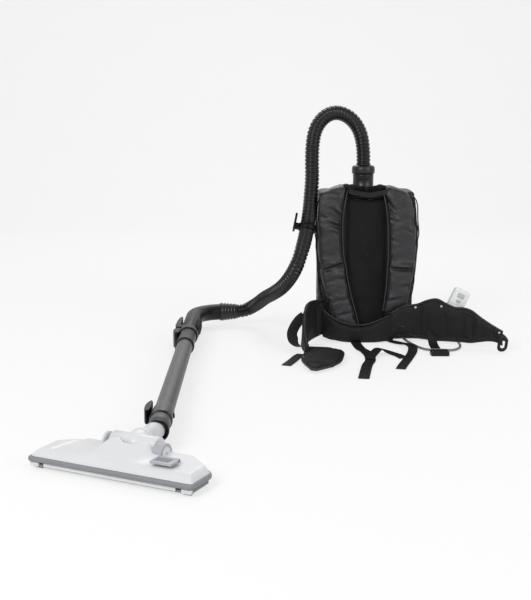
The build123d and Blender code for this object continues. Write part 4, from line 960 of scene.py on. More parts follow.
# %% Grab loop
loop_line = [(-47, 357), (-26, 352), (0, 348), (26, 352), (48, 357)]
grab = band("grab_loop_webbing", [((x, -90.5, z), (0, 1.2, 6), (0, -1.5, 0.3)) for x, z in loop_line],
            around=12, square=0.3, crown=0.5)
finish(grab, "pack", webbing_cloth, "webbing", "grab_loop")
for side in (-1, 1):
    for dx in (0, 5):
        x = side * (40 - dx)
        stitches("grab_loop_bar_%d_%d" % (side + 1, dx), [(x, -92.6, 350), (x, -92.6, 359)],
                 pitch=2.0, length=1.5, radius=0.4)

# %% [markdown]
# ### The belt wings
# The right wing stands beside the pack; the left one comes forward and lies folded on the floor. Both
# are thin pads of dull nylon bound at their edges.

# %% Belt wings
wing_line = [(44, -84), (58, -105.5), (84, -107), (116, -108), (138, -114), (160, -122), (180, -129),
             (200, -137), (220, -145), (237, -154), (256, -166), (275, -177), (290, -185), (303, -191)]
wing_low = [(30, 10), (110, 12), (160, 9), (240, 11), (262, 18), (285, 22), (316, 6)]
wing_high = [(30, 70), (60, 73), (70, 86), (116, 93), (138, 103), (158, 109), (176, 101), (197, 91),
             (222, 91), (236, 87), (252, 75), (277, 59), (304, 44), (318, 32)]


def level(table, x):
    """Value of a table of (x, value) rows at x, straight between its rows."""
    for (x0, z0), (x1, z1) in zip(table, table[1:]):
        if x <= x1:
            return z0 + (z1 - z0) * (x - x0) / (x1 - x0)
    return table[-1][1]


def wing_stations(line, low_edge, high_edge, half_thick, key):
    """Stations of an upright pad over (x, y) points; key says what its edge tables are read by."""
    stations = []
    for i, (x, y) in enumerate(line):
        (ax, ay), (bx, by) = line[max(i - 1, 0)], line[min(i + 1, len(line) - 1)]
        side_way = Vector((by - ay, -(bx - ax), 0)).normalized()
        low, high = level(low_edge, key(x, y)), level(high_edge, key(x, y))
        stations.append(((x, y, (low + high) / 2), (0, 0, (high - low) / 2 - 0.5),
                         tuple(side_way * half_thick)))
    return stations


right_stations = wing_stations(wing_line, wing_low, wing_high, 5.4, lambda x, y: x)
right_wing = band("right_wing", right_stations, count=5, around=34, square=0.55, crown=0.4)
swell(right_wing, lambda p: p.z < level(wing_low, p.x) + 3 or p.z > level(wing_high, p.x) - 3,
      pressure=3.0, slack=0.04, cap=4.0)
rumple(right_wing, 2.4, 42.0, stretch=(1.2, 1, 1.6), seed=6.0)
rumple(right_wing, 0.9, 15.0, seed=2.0)
cushion(refined(right_wing), "right_belt_wing_padded", belt_cloth, "belt_nylon", 0.4, "right_belt_wing")

# %% [markdown]
# Between the wings a softer pad crosses the foot of the pack, a little in front of it.

# %% Belt middle
middle_stations = [((-103, -88, 44), (0, 0, 32), (0, -4, 0)), ((-84, -99, 34), (0, 0, 27), (0, -6, 0)),
                   ((-58, -107, 26), (0, 0, 23), (0, -6, 0)), ((-30, -110, 23), (0, 0, 21), (0, -6, 0)),
                   ((0, -111, 24), (0, 0, 22), (0, -6, 0)), ((30, -110, 30), (0, 0, 27), (0, -5.5, 0)),
                   ((62, -103, 38), (0, 0, 31), (0, -5, 0))]
middle_belt = band("belt_middle", middle_stations, count=7, around=34, square=0.5, crown=0.45)
swell(middle_belt, lambda p: p.z < 5, pressure=3.0, slack=0.05, cap=4.0)
rumple(middle_belt, 2.0, 30.0, stretch=(1.4, 1, 0.7), seed=14.0)
cushion(refined(middle_belt), "belt_middle_padded", side_cloth, "belt_nylon", 0.4)
for tag, rise in (("top", 0.97), ("bottom", -0.97)):
    run = [(m[0], m[1] - 1, m[2] + w[2] * rise) for m, w, t in middle_stations]
    bead("belt_middle_binding_" + tag, run, 1.8, slot="belt_nylon")

# %% [markdown]
# The right wing's edges are bound and stitched, and two seams join its root to the belt.

# %% Seams of the right wing
def wing_front(x, gap):
    """Y in front of the right wing's middle at x, by a gap in mm."""
    return level(wing_line, x) - gap


for tag, table, lift in (("top", wing_high, -0.5), ("bottom", wing_low, 0.5)):
    run = [(x, level(wing_line, x) - 1, level(table, x) + lift) for x, y in wing_line]
    bead("right_wing_binding_" + tag, run, 2.2, slot="belt_nylon")
for tag, table, lift in (("top", wing_high, -8), ("bottom", wing_low, 8)):
    run = [(x, wing_front(x, 6.4), level(table, x) + lift) for x, y in wing_line[1:-1]]
    stitches("right_wing_stitches_" + tag, run, slot="belt_nylon")
seam_runs = [[(60, -113, 74), (72, -114.5, 48), (84, -115, 40), (112, -115.5, 44)],
             [(84, -115, 40), (96, -114.5, 26), (116, -115, 16)]]
for i, run in enumerate(seam_runs):
    bead("right_wing_seam_%d" % i, run, 0.9, slot="belt_nylon")

# %% [markdown]
# The left wing bends forwards beside the pack, sinks, and its end lies flat on the floor.

# %% Left wing
left_line = [(-101, -80.2), (-115, -94), (-128, -110), (-140, -134), (-148, -160), (-151, -188), (-152, -215),
             (-150, -240), (-147, -258)]
left_low = [(70, 22), (100, 12), (180, 5), (270, 4)]
left_high = [(70, 98), (130, 103), (180, 80), (250, 32), (270, 18)]
left_stations = wing_stations(left_line, left_low, left_high, 5, lambda x, y: -y)
left_wing = band("left_wing", left_stations, count=6, around=34, square=0.55, crown=0.4)
swell(left_wing, lambda p: p.z < level(left_low, -p.y) + 3 or p.z > level(left_high, -p.y) - 3,
      pressure=3.0, slack=0.04, cap=4.0)
rumple(left_wing, 2.2, 36.0, seed=9.0)
cushion(refined(left_wing), "left_belt_wing_padded", belt_cloth, "belt_nylon", 0.4, "left_belt_wing")
for tag, table, lift in (("top", left_high, -0.5), ("bottom", left_low, 0.8)):
    run = [(x, y, level(table, -y) + lift) for x, y in left_line]
    bead("left_wing_binding_" + tag, run, 2.0, slot="belt_nylon")

# %% [markdown]
# The end of the left wing is a pad of its own, round in plan, with piping all the way round.

# %% Folded end of the left wing
fold_stations = [((-112, -206, 8), (-30, 6, 0), (0, 0, 4.2)), ((-108, -228, 8), (-38, 4, 0), (0, 0, 4.4)),
                 ((-109, -250, 8), (-44, 1, 0), (0, 0, 4.6)), ((-114, -285, 8), (-45, 3, 0), (0, 0, 4.6)),
                 ((-119, -322, 8), (-43, 6, 0), (0, 0, 4.6)), ((-125, -350, 8), (-34, 8, 0), (0, 0, 4.4)),
                 ((-133, -374, 8), (-20, 8, 0), (0, 0, 4.2)), ((-139, -396, 8), (-7, 3, 0), (0, 0, 3.4))]
fold = band("left_fold", fold_stations, count=6, around=34, square=0.5, crown=0.4)
swell(fold, lambda p: p.z < 5, pressure=3.0, slack=0.04, cap=3.0)
rumple(fold, 2.2, 38.0, seed=12.0, where=lambda p: 1.0 if p.z > 7 else 0.1)
cushion(refined(fold), "left_belt_wing_folded_end", belt_cloth, "belt_nylon", 0.4, "left_belt_wing")
fold_rim = [(m[0] + w[0] * 0.99, m[1] + w[1], 9.0) for m, w, t in fold_stations]
fold_rim += [(m[0] - w[0] * 0.99, m[1] - w[1], 9.0) for m, w, t in reversed(fold_stations)]
bead("left_fold_binding", fold_rim, 1.8, slot="belt_nylon")

# %% [markdown]
# ### Webbing and buckles
# Flat woven webbing is modelled directly: a thin band that lies on the floor or hangs from the wings.

# %% Webbing
def webbing(name, run, half, upright=0, node="loose_webbing"):
    """Flat webbing along (x, y, z) points in mm; the first upright of them face the front."""
    stations = []
    for i, p in enumerate(run):
        a, b = Vector(run[max(i - 1, 0)]), Vector(run[min(i + 1, len(run) - 1)])
        way = (b - a).normalized()
        turn = min(1.0, max(0.0, (i - upright + 1) / 3)) * math.pi / 2 if upright else math.pi / 2
        up = Vector((0, math.cos(turn), math.sin(turn)))
        across = way.cross(up).normalized()
        stations.append((tuple(p), tuple(across * half), tuple(across.cross(way).normalized() * 1.1)))
    obj = band(name, stations, count=7, around=12, square=0.25, crown=0.4)
    return finish(obj, "pack", webbing_cloth, "webbing", node)


webbing("webbing_long_tail",
        [(-30, -80, 12), (-29, -92, 4), (-27, -130, 2.4), (-22, -180, 2.4), (-14, -220, 5), (-8, -258, 3),
         (-10, -296, 2.4), (-20, -335, 2.4), (-30, -395, 2.4), (-38, -448, 2.2)], 12)
webbing("webbing_short_tail",
        [(-12, -292, 5.2), (-4, -270, 8), (6, -248, 12), (16, -232, 14), (30, -230, 9), (44, -236, 5),
         (58, -250, 3), (66, -272, 2.4)], 11)
webbing("webbing_belt_tail",
        [(52, -116, 6), (66, -122, 4), (80, -140, 5), (92, -166, 9), (97, -192, 8), (92, -222, 4),
         (82, -256, 2.6), (70, -296, 2.4), (58, -334, 2.4), (48, -368, 2.2)], 11)
webbing("webbing_to_buckle",
        [(146, -125, 34), (149, -131, 20), (151, -146, 6), (152, -170, 2.6), (152, -196, 2.4),
         (152, -222, 3.4)], 11)
webbing("webbing_side_loop",
        [(-151, -163, 76), (-163, -164, 66), (-174, -165, 50), (-179.5, -165, 34), (-176, -165, 18),
         (-167, -166, 7), (-152, -168, 3.4)], 12, upright=4, node="belt_webbing_left")
webbing("webbing_side_tail",
        [(-160, -238, 2.6), (-169, -258, 2.6), (-181, -296, 2.6), (-190, -322, 2.6), (-196, -339, 2.6)],
        11, node="belt_webbing_left")
webbing("webbing_end_tab",
        [(292, -188, 40), (297, -196, 38), (301, -203, 34), (302, -207.5, 31), (301.5, -209.5, 27)],
        9, node="belt_end_buckle")

# %% [markdown]
# The buckles are moulded. The hanging one is a side-release body with a webbing bar; the end one is a
# loop with a slot, a ring of six outlines.

# %% Buckles
finish(softened("hanging_buckle", "buckle_body", 1.0), "pack", buckle_plastic, "buckle", "hanging_buckle")


def link(x, z, half_w, half_h, y, lean=0.12, sides=32):
    """One rounded-rectangle ring of points round a slot, in a plane that faces the front."""
    ring = []
    for k in range(sides):
        a = math.tau * (k + 0.5) / sides
        c, s = math.cos(a), math.sin(a)
        r = half_w * 0.95
        up = math.copysign(half_h - r, s) + r * s
        ring.append(Vector((x + half_w * 0.05 * math.copysign(1, c) + r * c + lean * up, y, z + up)) * MM)
    return ring


loop_rings = [link(300, 18.6, w, h, y) for w, h, y in
              ((11.0, 16.5, -204.5), (11.8, 17.3, -206.5), (11.0, 16.5, -208.5),
               (5.2, 9.8, -208.5), (4.6, 9.2, -206.5), (5.2, 9.8, -204.5))]
buckle_loop = mesh_object("buckle_loop", [v for ring in loop_rings for v in ring],
                          ring_faces(len(loop_rings), len(loop_rings[0])))
finish(tidy(buckle_loop), "pack", buckle_plastic, "buckle", "belt_end_buckle")

# %% [markdown]
# Rivets hold the layers of the right wing. A tree copies one small turned rivet to each place, and the
# same tree is used further on for screws, grip ribs and bristles.

# %% Rivets
def placed(name, source, spots, way, material, slot, body="pack"):
    """Copies of a small turned part at spots in mm, its z axis along way, made by a node tree."""
    obj = mesh_object(name, [tuple(c * MM for c in s) for s in spots], [])
    tree = Tree(name + "_tree", scale=1.0)
    part = tree.add("GeometryNodeObjectInfo", Object=source)
    aim = tree.add("FunctionNodeAlignRotationToVector", {"axis": "Z"}, Vector=way)
    each = tree.add("GeometryNodeInstanceOnPoints", Points=tree.input.outputs["Geometry"],
                    Instance=part.outputs["Geometry"], Rotation=aim.outputs[0], Scale=tree.size("scale"))
    tree.end(each, material)
    obj = tree.run(obj)
    bpy.data.objects.remove(source)
    return finish(obj, body, material, slot)


untouched = Matrix.Identity(4)
rivet = turned("rivet", untouched,
               [(0.01, 0), (3.4, 0), (3.2, 0.9), (2.4, 1.5), (1.2, 1.8), (0.01, 1.85)], 20)
rivet_spots = [(x, wing_front(x, gap), z) for x, gap, z in ((112, 6.6, 86), (170, 6.6, 92), (294, 6.0, 42))]
placed("wing_rivets", rivet, rivet_spots, (0.25, -1, 0), steel, "steel")


# %% [markdown]
# ## The floor nozzle
# The white cover is one swept surface: a soft shoulder all round, flat wings and a broad hump that
# climbs to the neck. A height for each place in the nozzle's own plan (u along the front edge, v
# backwards) says it all, so the mesh is a grid over the six-sided plan.

# %% Nozzle plan
nozzle_turn = math.radians(26.5)
corner_x, corner_y = -616, -993
plan_w, plan_d, side_d, back_inset = 300.0, 104.0, 62.0, 52.0
mid_u, tilt_v, tilt_z = 150, 85, 36      # middle of the nozzle, and its tilt axis
hub_v, hub_z = 75.0, 32.5                # the hub beside the pedal


def nozzle_place(u, v, z):
    """A place on the nozzle, from its own plan to the shared frame, in mm."""
    c, s = math.cos(nozzle_turn), math.sin(nozzle_turn)
    return Vector((corner_x + u * c + v * s, corner_y - u * s + v * c, z))


def ease(value, low, high):
    """Smooth step from 0 at low to 1 at high."""
    t = min(1.0, max(0.0, (value - low) / (high - low)))
    return t * t * (3 - 2 * t)


def ends_at(v, inset):
    """The plan's two ends at depth v, inset from its outline."""
    slope = back_inset / (plan_d - side_d)
    lean = max(0.0, v - side_d + inset * 0.45) * slope
    front = max(0.0, 10.0 - v) ** 2 * 0.05
    return inset + lean + front, plan_w - inset - lean - front


# %% [markdown]
# The height is a sum of smooth steps, which keeps every shoulder soft: the rim, the hump between the
# wings, the low plinth of the hub and a shallow sunk panel.

# %% Cover height
cover_inset, columns, rows_deep = 2.0, 150, 60


def cover_height(u, v, low=17.5, top=31.5):
    """Height of the cover in mm: its shoulder, the hump or the hub's plinth, and a sunk panel."""
    u0, u1 = ends_at(v, cover_inset)
    rim = min((u - u0) * 0.9, (u1 - u) * 0.9, (v - cover_inset) * 0.62, (plan_d - cover_inset - v) * 1.1)
    shoulder = low + (top - low) * math.sin(min(1.0, max(0.0, rim) / 13.0) * math.pi / 2)
    left = ease(u, 78 + v * 0.30, 104 + v * 0.16)
    right = 1 - ease(u, 176, 214)
    climb = ease(v, 10, 82)
    hump = 19.0 * left * right * climb
    sunk = 1.6 * ease(v, 22, 25) * (1 - ease(v, 88, 92)) * ease(u - v * 0.2, 24, 27) * (1 - ease(u, 74, 80))
    plinth = 5.0 * ease(u, 186, 194) * (1 - ease(u, 207, 214)) * ease(v, 46, 60)
    return shoulder + max(hump, plinth) - sunk


def cover_place(i, j):
    """Place (u, v) of column i and row j of the cover's grid."""
    v = cover_inset + (plan_d - 2 * cover_inset) * j / rows_deep
    u0, u1 = ends_at(v, cover_inset)
    return u0 + (u1 - u0) * i / columns, v


def in_well(u, v):
    """Whether a place is in the well at the back, which lets the barrel and the neck in."""
    off = abs(u - mid_u)
    swivel_room = off < 26 and v > 60 + 15 * (off / 26) ** 2
    barrel_room = off < 43 and v > 79 - 10 * ease(off, 0, 44)
    return swivel_room or barrel_room

# %% [markdown]
# The grid leaves out the cells of the well. Solidify gives the shell its wall, inwards.

# %% Cover
cover_verts, cover_faces = [], []
for j in range(rows_deep + 1):
    for i in range(columns + 1):
        u, v = cover_place(i, j)
        cover_verts.append(nozzle_place(u, v, cover_height(u, v)) * MM)
for j in range(rows_deep):
    for i in range(columns):
        a = j * (columns + 1) + i
        if not in_well(*cover_place(i + 0.5, j + 0.5)):
            cover_faces.append((a, a + 1, a + columns + 2, a + columns + 1))
cover = mesh_object("nozzle_cover_shell", cover_verts, cover_faces)
wall = cover.modifiers.new("wall", "SOLIDIFY")
wall.thickness = 2.2 * MM
wall.offset = -1
cover = smoothed(tidy(baked(cover)))
finish(cover, "nozzle", white_plastic, "nozzle_white", "nozzle_cover")
print("nozzle cover faces", len(cover.data.polygons))

# %% [markdown]
# Around the cover runs a grey bumper with a rounded lip. Under the front edge are a white blade, small
# rollers and their end blocks, and two rows of bristles set in tufts.

# %% Bumper
corner_reach = 9  # how far in mm a corner's rounding starts before it


def plan_run(inset, z, per_side=10):
    """Points round the plan, with rounded corners, at one height."""
    corners = [(inset, inset), (plan_w - inset, inset), (plan_w - inset, side_d),
               (plan_w - back_inset, plan_d - inset), (back_inset, plan_d - inset), (inset, side_d)]
    run = []
    for k, (u, v) in enumerate(corners):
        (pu, pv), (nu, nv) = corners[k - 1], corners[(k + 1) % 6]
        back = Vector((pu - u, pv - v)).normalized() * corner_reach
        ahead = Vector((nu - u, nv - v)).normalized() * corner_reach
        for step in range(per_side + 1):
            t = step / per_side
            spot = Vector((u, v)) + back * (1 - t) ** 2 + ahead * t ** 2
            run.append((spot.x, spot.y, z))
    return run


bumper_section = [(0.6, 13.2), (-0.2, 14.2), (-0.6, 16.6), (-0.2, 19.2), (0.9, 20.4), (4.6, 20.9), (5.0, 12.4)]
rings = [plan_run(inset, z) for inset, z in bumper_section]
verts = [nozzle_place(*spot) * MM for section in zip(*rings) for spot in section]
bumper_lip = tidy(mesh_object("nozzle_bumper_lip", verts, ring_faces(len(rings[0]), len(rings))))
finish(bumper_lip, "nozzle", bumper_rubber, "nozzle_grey", "bumper")
print("bumper faces", len(bumper_lip.data.polygons))

# %% [markdown]
# Small blocks are six-sided meshes in the nozzle's plan, with their edges rounded.

# %% Blade and end blocks
def block(name, spots, edge, segments=2):
    """Block of four low and four high places in mm, with rounded edges."""
    sides = [(3, 2, 1, 0), (4, 5, 6, 7), (0, 1, 5, 4), (1, 2, 6, 5), (2, 3, 7, 6), (3, 0, 4, 7)]
    return rounded(tidy(mesh_object(name, [spot * MM for spot in spots], sides)), edge, segments)


def oblong(a0, a1, b0, b1):
    """Corners of an oblong, in order."""
    return (a0, b0), (a1, b0), (a1, b1), (a0, b1)


def nozzle_box(name, us, vs, zs, edge, body="nozzle", material=white_plastic, slot="nozzle_white"):
    """Small block in the nozzle's own plan with rounded edges."""
    spots = [nozzle_place(u, v, z) for z in zs for u, v in oblong(*us, *vs)]
    return finish(block(name, spots, edge, 3), body, material, slot)


nozzle_box("nozzle_front_blade", (30, 270), (3.0, 5.0), (6.5, 12.5), 0.5)
for side, u in (("left", 3.5), ("right", 279.5)):
    nozzle_box("nozzle_end_block_" + side, (u, u + 17), (2.5, 8.5), (5.2, 12.4), 1.2)
nozzle_box("nozzle_back_latch", (88, 102), (90, 98), (30, 38.5), 2.0)

# %% [markdown]
# Each bristle tuft is a slim cone; a tree stands them in rows along the two brush strips.

# %% Bristles
tuft_spots = []
for v in (13.0, 47.0):
    for k in range(112):
        for dv in (-0.8, 0.8):
            lean = 0.5 * math.sin(k * 1.7 + dv)
            tuft_spots.append(tuple(nozzle_place(38.5 + 2.0 * k, v + dv + 0.2 * lean, 7.6)))
tuft = turned("tuft", untouched, [(0.01, -4.3), (0.75, -4.2), (0.6, 0.0), (0.5, 4.3), (0.01, 4.4)], 7)
placed("brush_bristles", tuft, tuft_spots, (0, 0, 1), bristle_white, "bristle", body="brush")
coat_node("brush_strips", bumper_rubber)
print("tufts", len(tuft_spots))

# %% [markdown]
# The foot pedal is a flat key with a ribbed pad. The round hub beside it sits in a light grey arch.

# %% Pedal ribs and hub
on_pedal = {"body": "pedal", "material": pedal_plastic, "slot": "pedal"}
nozzle_box("pedal_pad", (217, 244), (26.5, 43), (39.0, 39.9), 0.3, **on_pedal)
for k in range(5):
    nozzle_box("pedal_rib_%d" % k, (219 + 5 * k, 221.4 + 5 * k), (28, 41.5), (39.6, 40.8), 0.4, **on_pedal)


def arch(name, u0, u1, inside, outside, sides=30):
    """Half ring over the hub, across the nozzle, that ends inside the cover."""
    verts = []
    for u in (u0, u1):
        for radius in (inside, outside):
            for k in range(sides + 1):
                a = math.pi * (-0.12 + 1.24 * k / sides)
                z = max(20.0, hub_z + radius * math.sin(a))
                verts.append(nozzle_place(u, hub_v + radius * math.cos(a), z) * MM)
    n = sides + 1
    faces = []
    for k in range(sides):
        faces += [(k, k + 1, n + k + 1, n + k), (2 * n + k, 3 * n + k, 3 * n + k + 1, 2 * n + k + 1),
                  (n + k, n + k + 1, 3 * n + k + 1, 3 * n + k), (k, 2 * n + k, 2 * n + k + 1, k + 1)]
    faces += [(0, n, 3 * n, 2 * n), (n - 1, 3 * n - 1, 4 * n - 1, 2 * n - 1)]
    obj = rounded(tidy(mesh_object(name, verts, faces)), 0.8)
    return finish(obj, "nozzle", hub_plastic, "pedal")


arch("pivot_arch_right", 194, 211, 12.4, 17.2)

# %% [markdown]
# The other round parts of nozzle, neck, wand and handle are turned. Each line gives the part's name, its
# body, finish and slot, where it stands and which way its axis points, its profile, and the CAD node that
# it stands for.

# %% Hub discs and neck
def turn_part(name, body, material, slot, place, profile, *replaced, sides=64):
    """A turned part, finished."""
    return finish(turned(name, place, profile, sides), body, material, slot, *replaced)


wand_x, wand_z, knee_y = -418, 36, -899


def along(y):
    """Place on the wand's axis at y, looking down the wand."""
    return frame_along((wand_x, y, wand_z), (0, -1, 0))


white = (white_plastic, "nozzle_white")
across = nozzle_place(1, 0, 0) - nozzle_place(0, 0, 0)
pivot = nozzle_place(mid_u, tilt_v, tilt_z)
back_way = (Vector((wand_x, knee_y, wand_z)) - pivot).normalized()
turn_part("pivot_disc_right", "nozzle", *white, frame_along(nozzle_place(195, hub_v, hub_z), across),
          [(0.01, 0), (12.6, 0), (12.6, 15.4), (11.8, 16.4), (0.01, 16.8)], "pivot_caps", sides=48)
turn_part("pivot_disc_left", "nozzle", *white, frame_along(nozzle_place(97, tilt_v, tilt_z), -across),
          [(0.01, 0), (15, 0), (15, 3), (13.8, 4.1), (0.01, 4.2)], sides=48)
turn_part("neck_tube", "neck", *white, along(-872),
          [(13.2, 0), (15.2, 0), (15.2, 27), (14.6, 30), (13.2, 30)], "neck_yoke")
turn_part("neck_bend", "neck", *white, frame_along(pivot, back_way),
          [(12.6, 30), (18.2, 31), (18.2, 36), (17.0, 38), (16.4, 40), (16.4, 70), (15.2, 78), (15.2, 86),
           (14.4, 90), (12.6, 90)])
turn_part("neck_swivel", "neck", *white, frame_along(pivot, back_way),
          [(0.01, -19.5), (8, -18), (14, -14), (18, -8.4), (20, -1), (21.4, 5), (22.2, 10), (22.3, 14.4),
           (21.6, 14.8), (21.6, 15.8), (22.3, 16.2), (22.2, 21), (21.2, 27), (19.2, 32), (17.4, 34.5),
           (0.01, 34.6)])
turn_part("neck_barrel", "neck", *white, frame_along(nozzle_place(107.5, tilt_v, tilt_z), across),
          [(0.01, 0), (17.2, 0), (18, 0.8), (18, 84.2), (17.2, 85), (0.01, 85)], sides=56)

# %% [markdown]
# A grey sleeve and a dark seal ring close the gap between the neck and the wand.

# %% Rings between the neck and the wand
turn_part("neck_socket_sleeve", "wand", wand_plastic, "wand_inner", along(-861),
          [(15.6, 0), (17.2, 0.3), (18.0, 2.0), (18.2, 20), (18.2, 45), (15.6, 45), (15.6, 20)],
          "neck_socket")
turn_part("neck_seal_ring", "wand", lever_plastic, "wand_inner", along(-905),
          [(15.5, 0), (18.4, 0), (19.2, 1.0), (19.3, 4), (19.0, 8.4), (18.4, 9.6), (17.0, 10), (15.5, 10)])

# %% [markdown]
# ## Wand and handle
# The outer tube is satin grey with a rolled mouth; its lower clamp is the same grey with a dark ring and
# a black paddle. Grip ribs, a button and the lug of the upper clamp are small moulded parts.

# %% Wand
turn_part("wand_outer_sleeve", "pack", wand_plastic, "wand", along(-142),
          [(15.8, 0), (17.1, 0), (17.25, 0.6), (17.25, 60), (17.25, 640), (17.25, 650), (18.2, 660),
           (18.6, 664), (18.6, 686), (18.2, 690), (15.8, 690), (15.8, 340)], "wand_outer_tube", sides=72)
turn_part("wand_clamp_sleeve", "pack", wand_plastic, "wand", along(-796),
          [(15.8, 0), (17.3, 0.2), (18.4, 2), (18.9, 6), (19.0, 34), (19.3, 50), (19.0, 53), (15.8, 53)],
          "wand_lock_collar")
turn_part("wand_dark_ring", "pack", hose_black, "handle", along(-848),
          [(15.8, 0), (19.4, 0.4), (20.0, 2.4), (19.9, 7), (18.9, 10.6), (15.8, 11)])
turn_part("wand_side_button", "pack", lever_plastic, "lever", frame_along((-399.2, -826, 36), (1, 0, 0)),
          [(0.01, 0), (4.4, 0), (4.6, 1.2), (3.8, 2.2), (0.01, 2.5)], sides=24)

# %% [markdown]
# The paddle and the lever are flat mouldings, so each is an outline seen from above with a height.

# %% Paddle and lever
def plate(name, body, slot, outline, heights, edge, *replaced):
    """Flat black moulding of an (x, y) outline in mm between two heights, with rounded edges."""
    n = len(outline)
    verts = [Vector((x, y, z)) * MM for z in heights for x, y in outline]
    faces = [tuple(range(n))[::-1], tuple(range(n, 2 * n))] + ring_faces(2, n, closed=False)
    obj = rounded(tidy(mesh_object(name, verts, faces)), edge, segments=4)
    return finish(obj, body, lever_plastic, slot, *replaced)


plate("wand_release_paddle", "paddle", "lever",
      [(-440.8, -835), (-443.4, -840), (-446.8, -838), (-449.2, -828), (-450.0, -806), (-447.6, -789),
       (-443.8, -778), (-440.2, -775), (-438.2, -784), (-437.9, -806), (-438.8, -824)],
      (24, 50), 2.2, "wand_lock_lever")
plate("handle_release_lever", "handle_lever", "lever",
      [(-440.2, -150), (-444, -153), (-449.5, -149), (-452, -132), (-451.5, -88), (-449, -52),
       (-444.5, -38), (-440.6, -40), (-439.6, -60), (-439.4, -120)], (25, 49), 2.2, "handle_lock_lever")

# %% [markdown]
# Where the wand enters the handle sit a clamp ring with a lug and a foot, and the pipe's dark end.

# %% Upper clamp
turn_part("handle_clamp_ring", "pack", lever_plastic, "handle", along(-173),
          [(20.1, 0), (21.8, 0.6), (22.4, 3), (22.4, 24), (21.6, 29), (19.6, 31), (17.5, 31), (17.5, 27),
           (20.1, 26)], "handle_collar")
turn_part("handle_tube_end", "pack", charcoal_plastic, "handle", along(-203),
          [(17.5, 0), (18.9, 0.4), (19.2, 3), (19.2, 84), (19.8, 86), (20.6, 88), (20.8, 97), (20.0, 100),
           (18.4, 100.6), (17.5, 100.6)])
plate("handle_clamp_lug", "pack", "handle",
      [(-436.5, -174), (-444, -172), (-450, -178), (-452, -190), (-451, -208), (-446, -220), (-439, -221),
       (-436.5, -214)], (12, 50), 2.6)
plate("handle_clamp_foot", "pack", "handle", [(-437, -178), (-446, -178), (-447, -216), (-438, -219)],
      (0.6, 14), 1.6)

# %% [markdown]
# Both ends of the hose sit in cuffs: a ribbed one on the handle pipe and a swivelling one on the pack.

# %% Hose cuffs
way_out = Vector((0.9848, 0.1736, 0))
pipe_end = Vector((-355.98, 83.86, 36))
cuff_profile = [(14.4, -1), (21.6, -1), (22.4, 0.4)]
for k in range(5):
    base, r = 2.5 + 7.6 * k, 22.2 - 0.75 * k
    cuff_profile += [(r - 1.2, base), (r + 0.5, base + 1.2), (r + 0.5, base + 4.2), (r - 1.2, base + 5.4)]
cuff_profile += [(18.6, 41.0), (18.0, 42.6), (14.4, 42.6)]
turn_part("hose_end_cuff_ribbed", "pack", satin_black, "cuff", frame_along(pipe_end, way_out),
          cuff_profile, "hose_end_cuff", sides=56)
turn_part("hose_cuff_turned", "pack", satin_black, "cuff", frame_along((-6, 0, 352), (0, 0, 1)),
          [(20.2, -2), (27.0, -2), (27.6, -0.6), (27.2, 1.2), (24.6, 2.2), (24.5, 34.5), (25.4, 36.0),
           (25.4, 37.2), (24.0, 38.0), (24.0, 39.4), (26.2, 40.0), (27.2, 41.6), (27.5, 45), (27.4, 53),
           (26.6, 56.4), (24.8, 58.4), (21.0, 59.4), (18.4, 60.4), (14.2, 60.4), (14.2, 38), (20.2, 37)],
          "hose_cuff", sides=72)

# %% [markdown]
# Grip ribs on the air shutter, the batteries and the casing repeat along a line, so each set is one
# small block copied by a tree.

# %% Grip ribs and screws
def rib(width, depth, height):
    """Small rounded block round the origin, sizes in mm."""
    w, d, h = width / 2, depth / 2, height / 2
    spots = [Vector((x, y, z)) for z in (-h, h) for x, y in oblong(-w, w, -d, d)]
    return block("rib", spots, min(width, depth, height) * 0.3)


upwards, backwards, rear_y = (0, 0, 1), (0, 1, 0), 66.0
placed("shutter_grip", rib(1.6, 1.8, 16), [(-394.2, y, 36) for y in range(-150, -72, 7)],
       upwards, lever_plastic, "lever", body="relief")
for side, sign in (("left", -1), ("right", 1)):
    placed("battery_%s_ribs" % side, rib(1.6, 44, 1.8), [(sign * 112.2, 16, z) for z in range(28, 60, 6)],
           upwards, battery_plastic, "battery", body="battery_" + side[0])
placed("casing_side_ribs", rib(1.6, 46, 2.2),
       [(sign * 115.2, -10, z) for sign in (-1, 1) for z in range(150, 310, 12)],
       upwards, teal_plastic, "teal_shell")
for name, body, heights in (("lid_screws", "lid", (212, 300)), ("shell_screws", "pack", (120, 178))):
    screw = turned("screw", untouched,
                   [(0.01, 0.2), (1.4, 0.2), (1.5, 1.1), (3.3, 1.2), (3.6, 0.8), (3.6, 0), (0.01, 0)], 24)
    placed(name, screw, [(x, rear_y, z) for x in (-92, 92) for z in heights],
           backwards, steel, "steel", body=body)
print("ribs and screws placed")

# %% [markdown]
# The lid carries a bare raised panel with soft shoulders and a long flute in its middle. The flute is laid
# in two layers of the same shape.

# %% Lid panel
def back_panel(name, x_half, z0, z1, rise, material, slot, corner):
    """Raised rounded panel on the lid's rear face, sunk a little inside its rim."""
    verts, rim = [], 40
    steps = ((0, -0.4), (0.6, rise * 0.6), (2.4, rise), (6.0, rise), (8.0, rise - 0.9), (11.0, rise - 0.9))
    for inset, lift in steps:
        for j in range(rim):
            a = math.tau * (j + 0.5) / rim
            c, s = math.cos(a), math.sin(a)
            half_x, half_z, r = x_half - inset, (z1 - z0) / 2 - inset, max(2.0, corner - inset)
            x = math.copysign(half_x - r, c) + r * c
            z = math.copysign(half_z - r, s) + r * s
            verts.append(Vector((x, rear_y + lift, (z0 + z1) / 2 + z)) * MM)
    faces = ring_faces(len(steps), rim, closed=False)
    faces += [tuple(range(rim))[::-1], tuple((len(steps) - 1) * rim + j for j in range(rim))]
    obj = rounded(tidy(mesh_object(name, verts, faces)), 0.3)
    return finish(obj, "lid", material, slot)


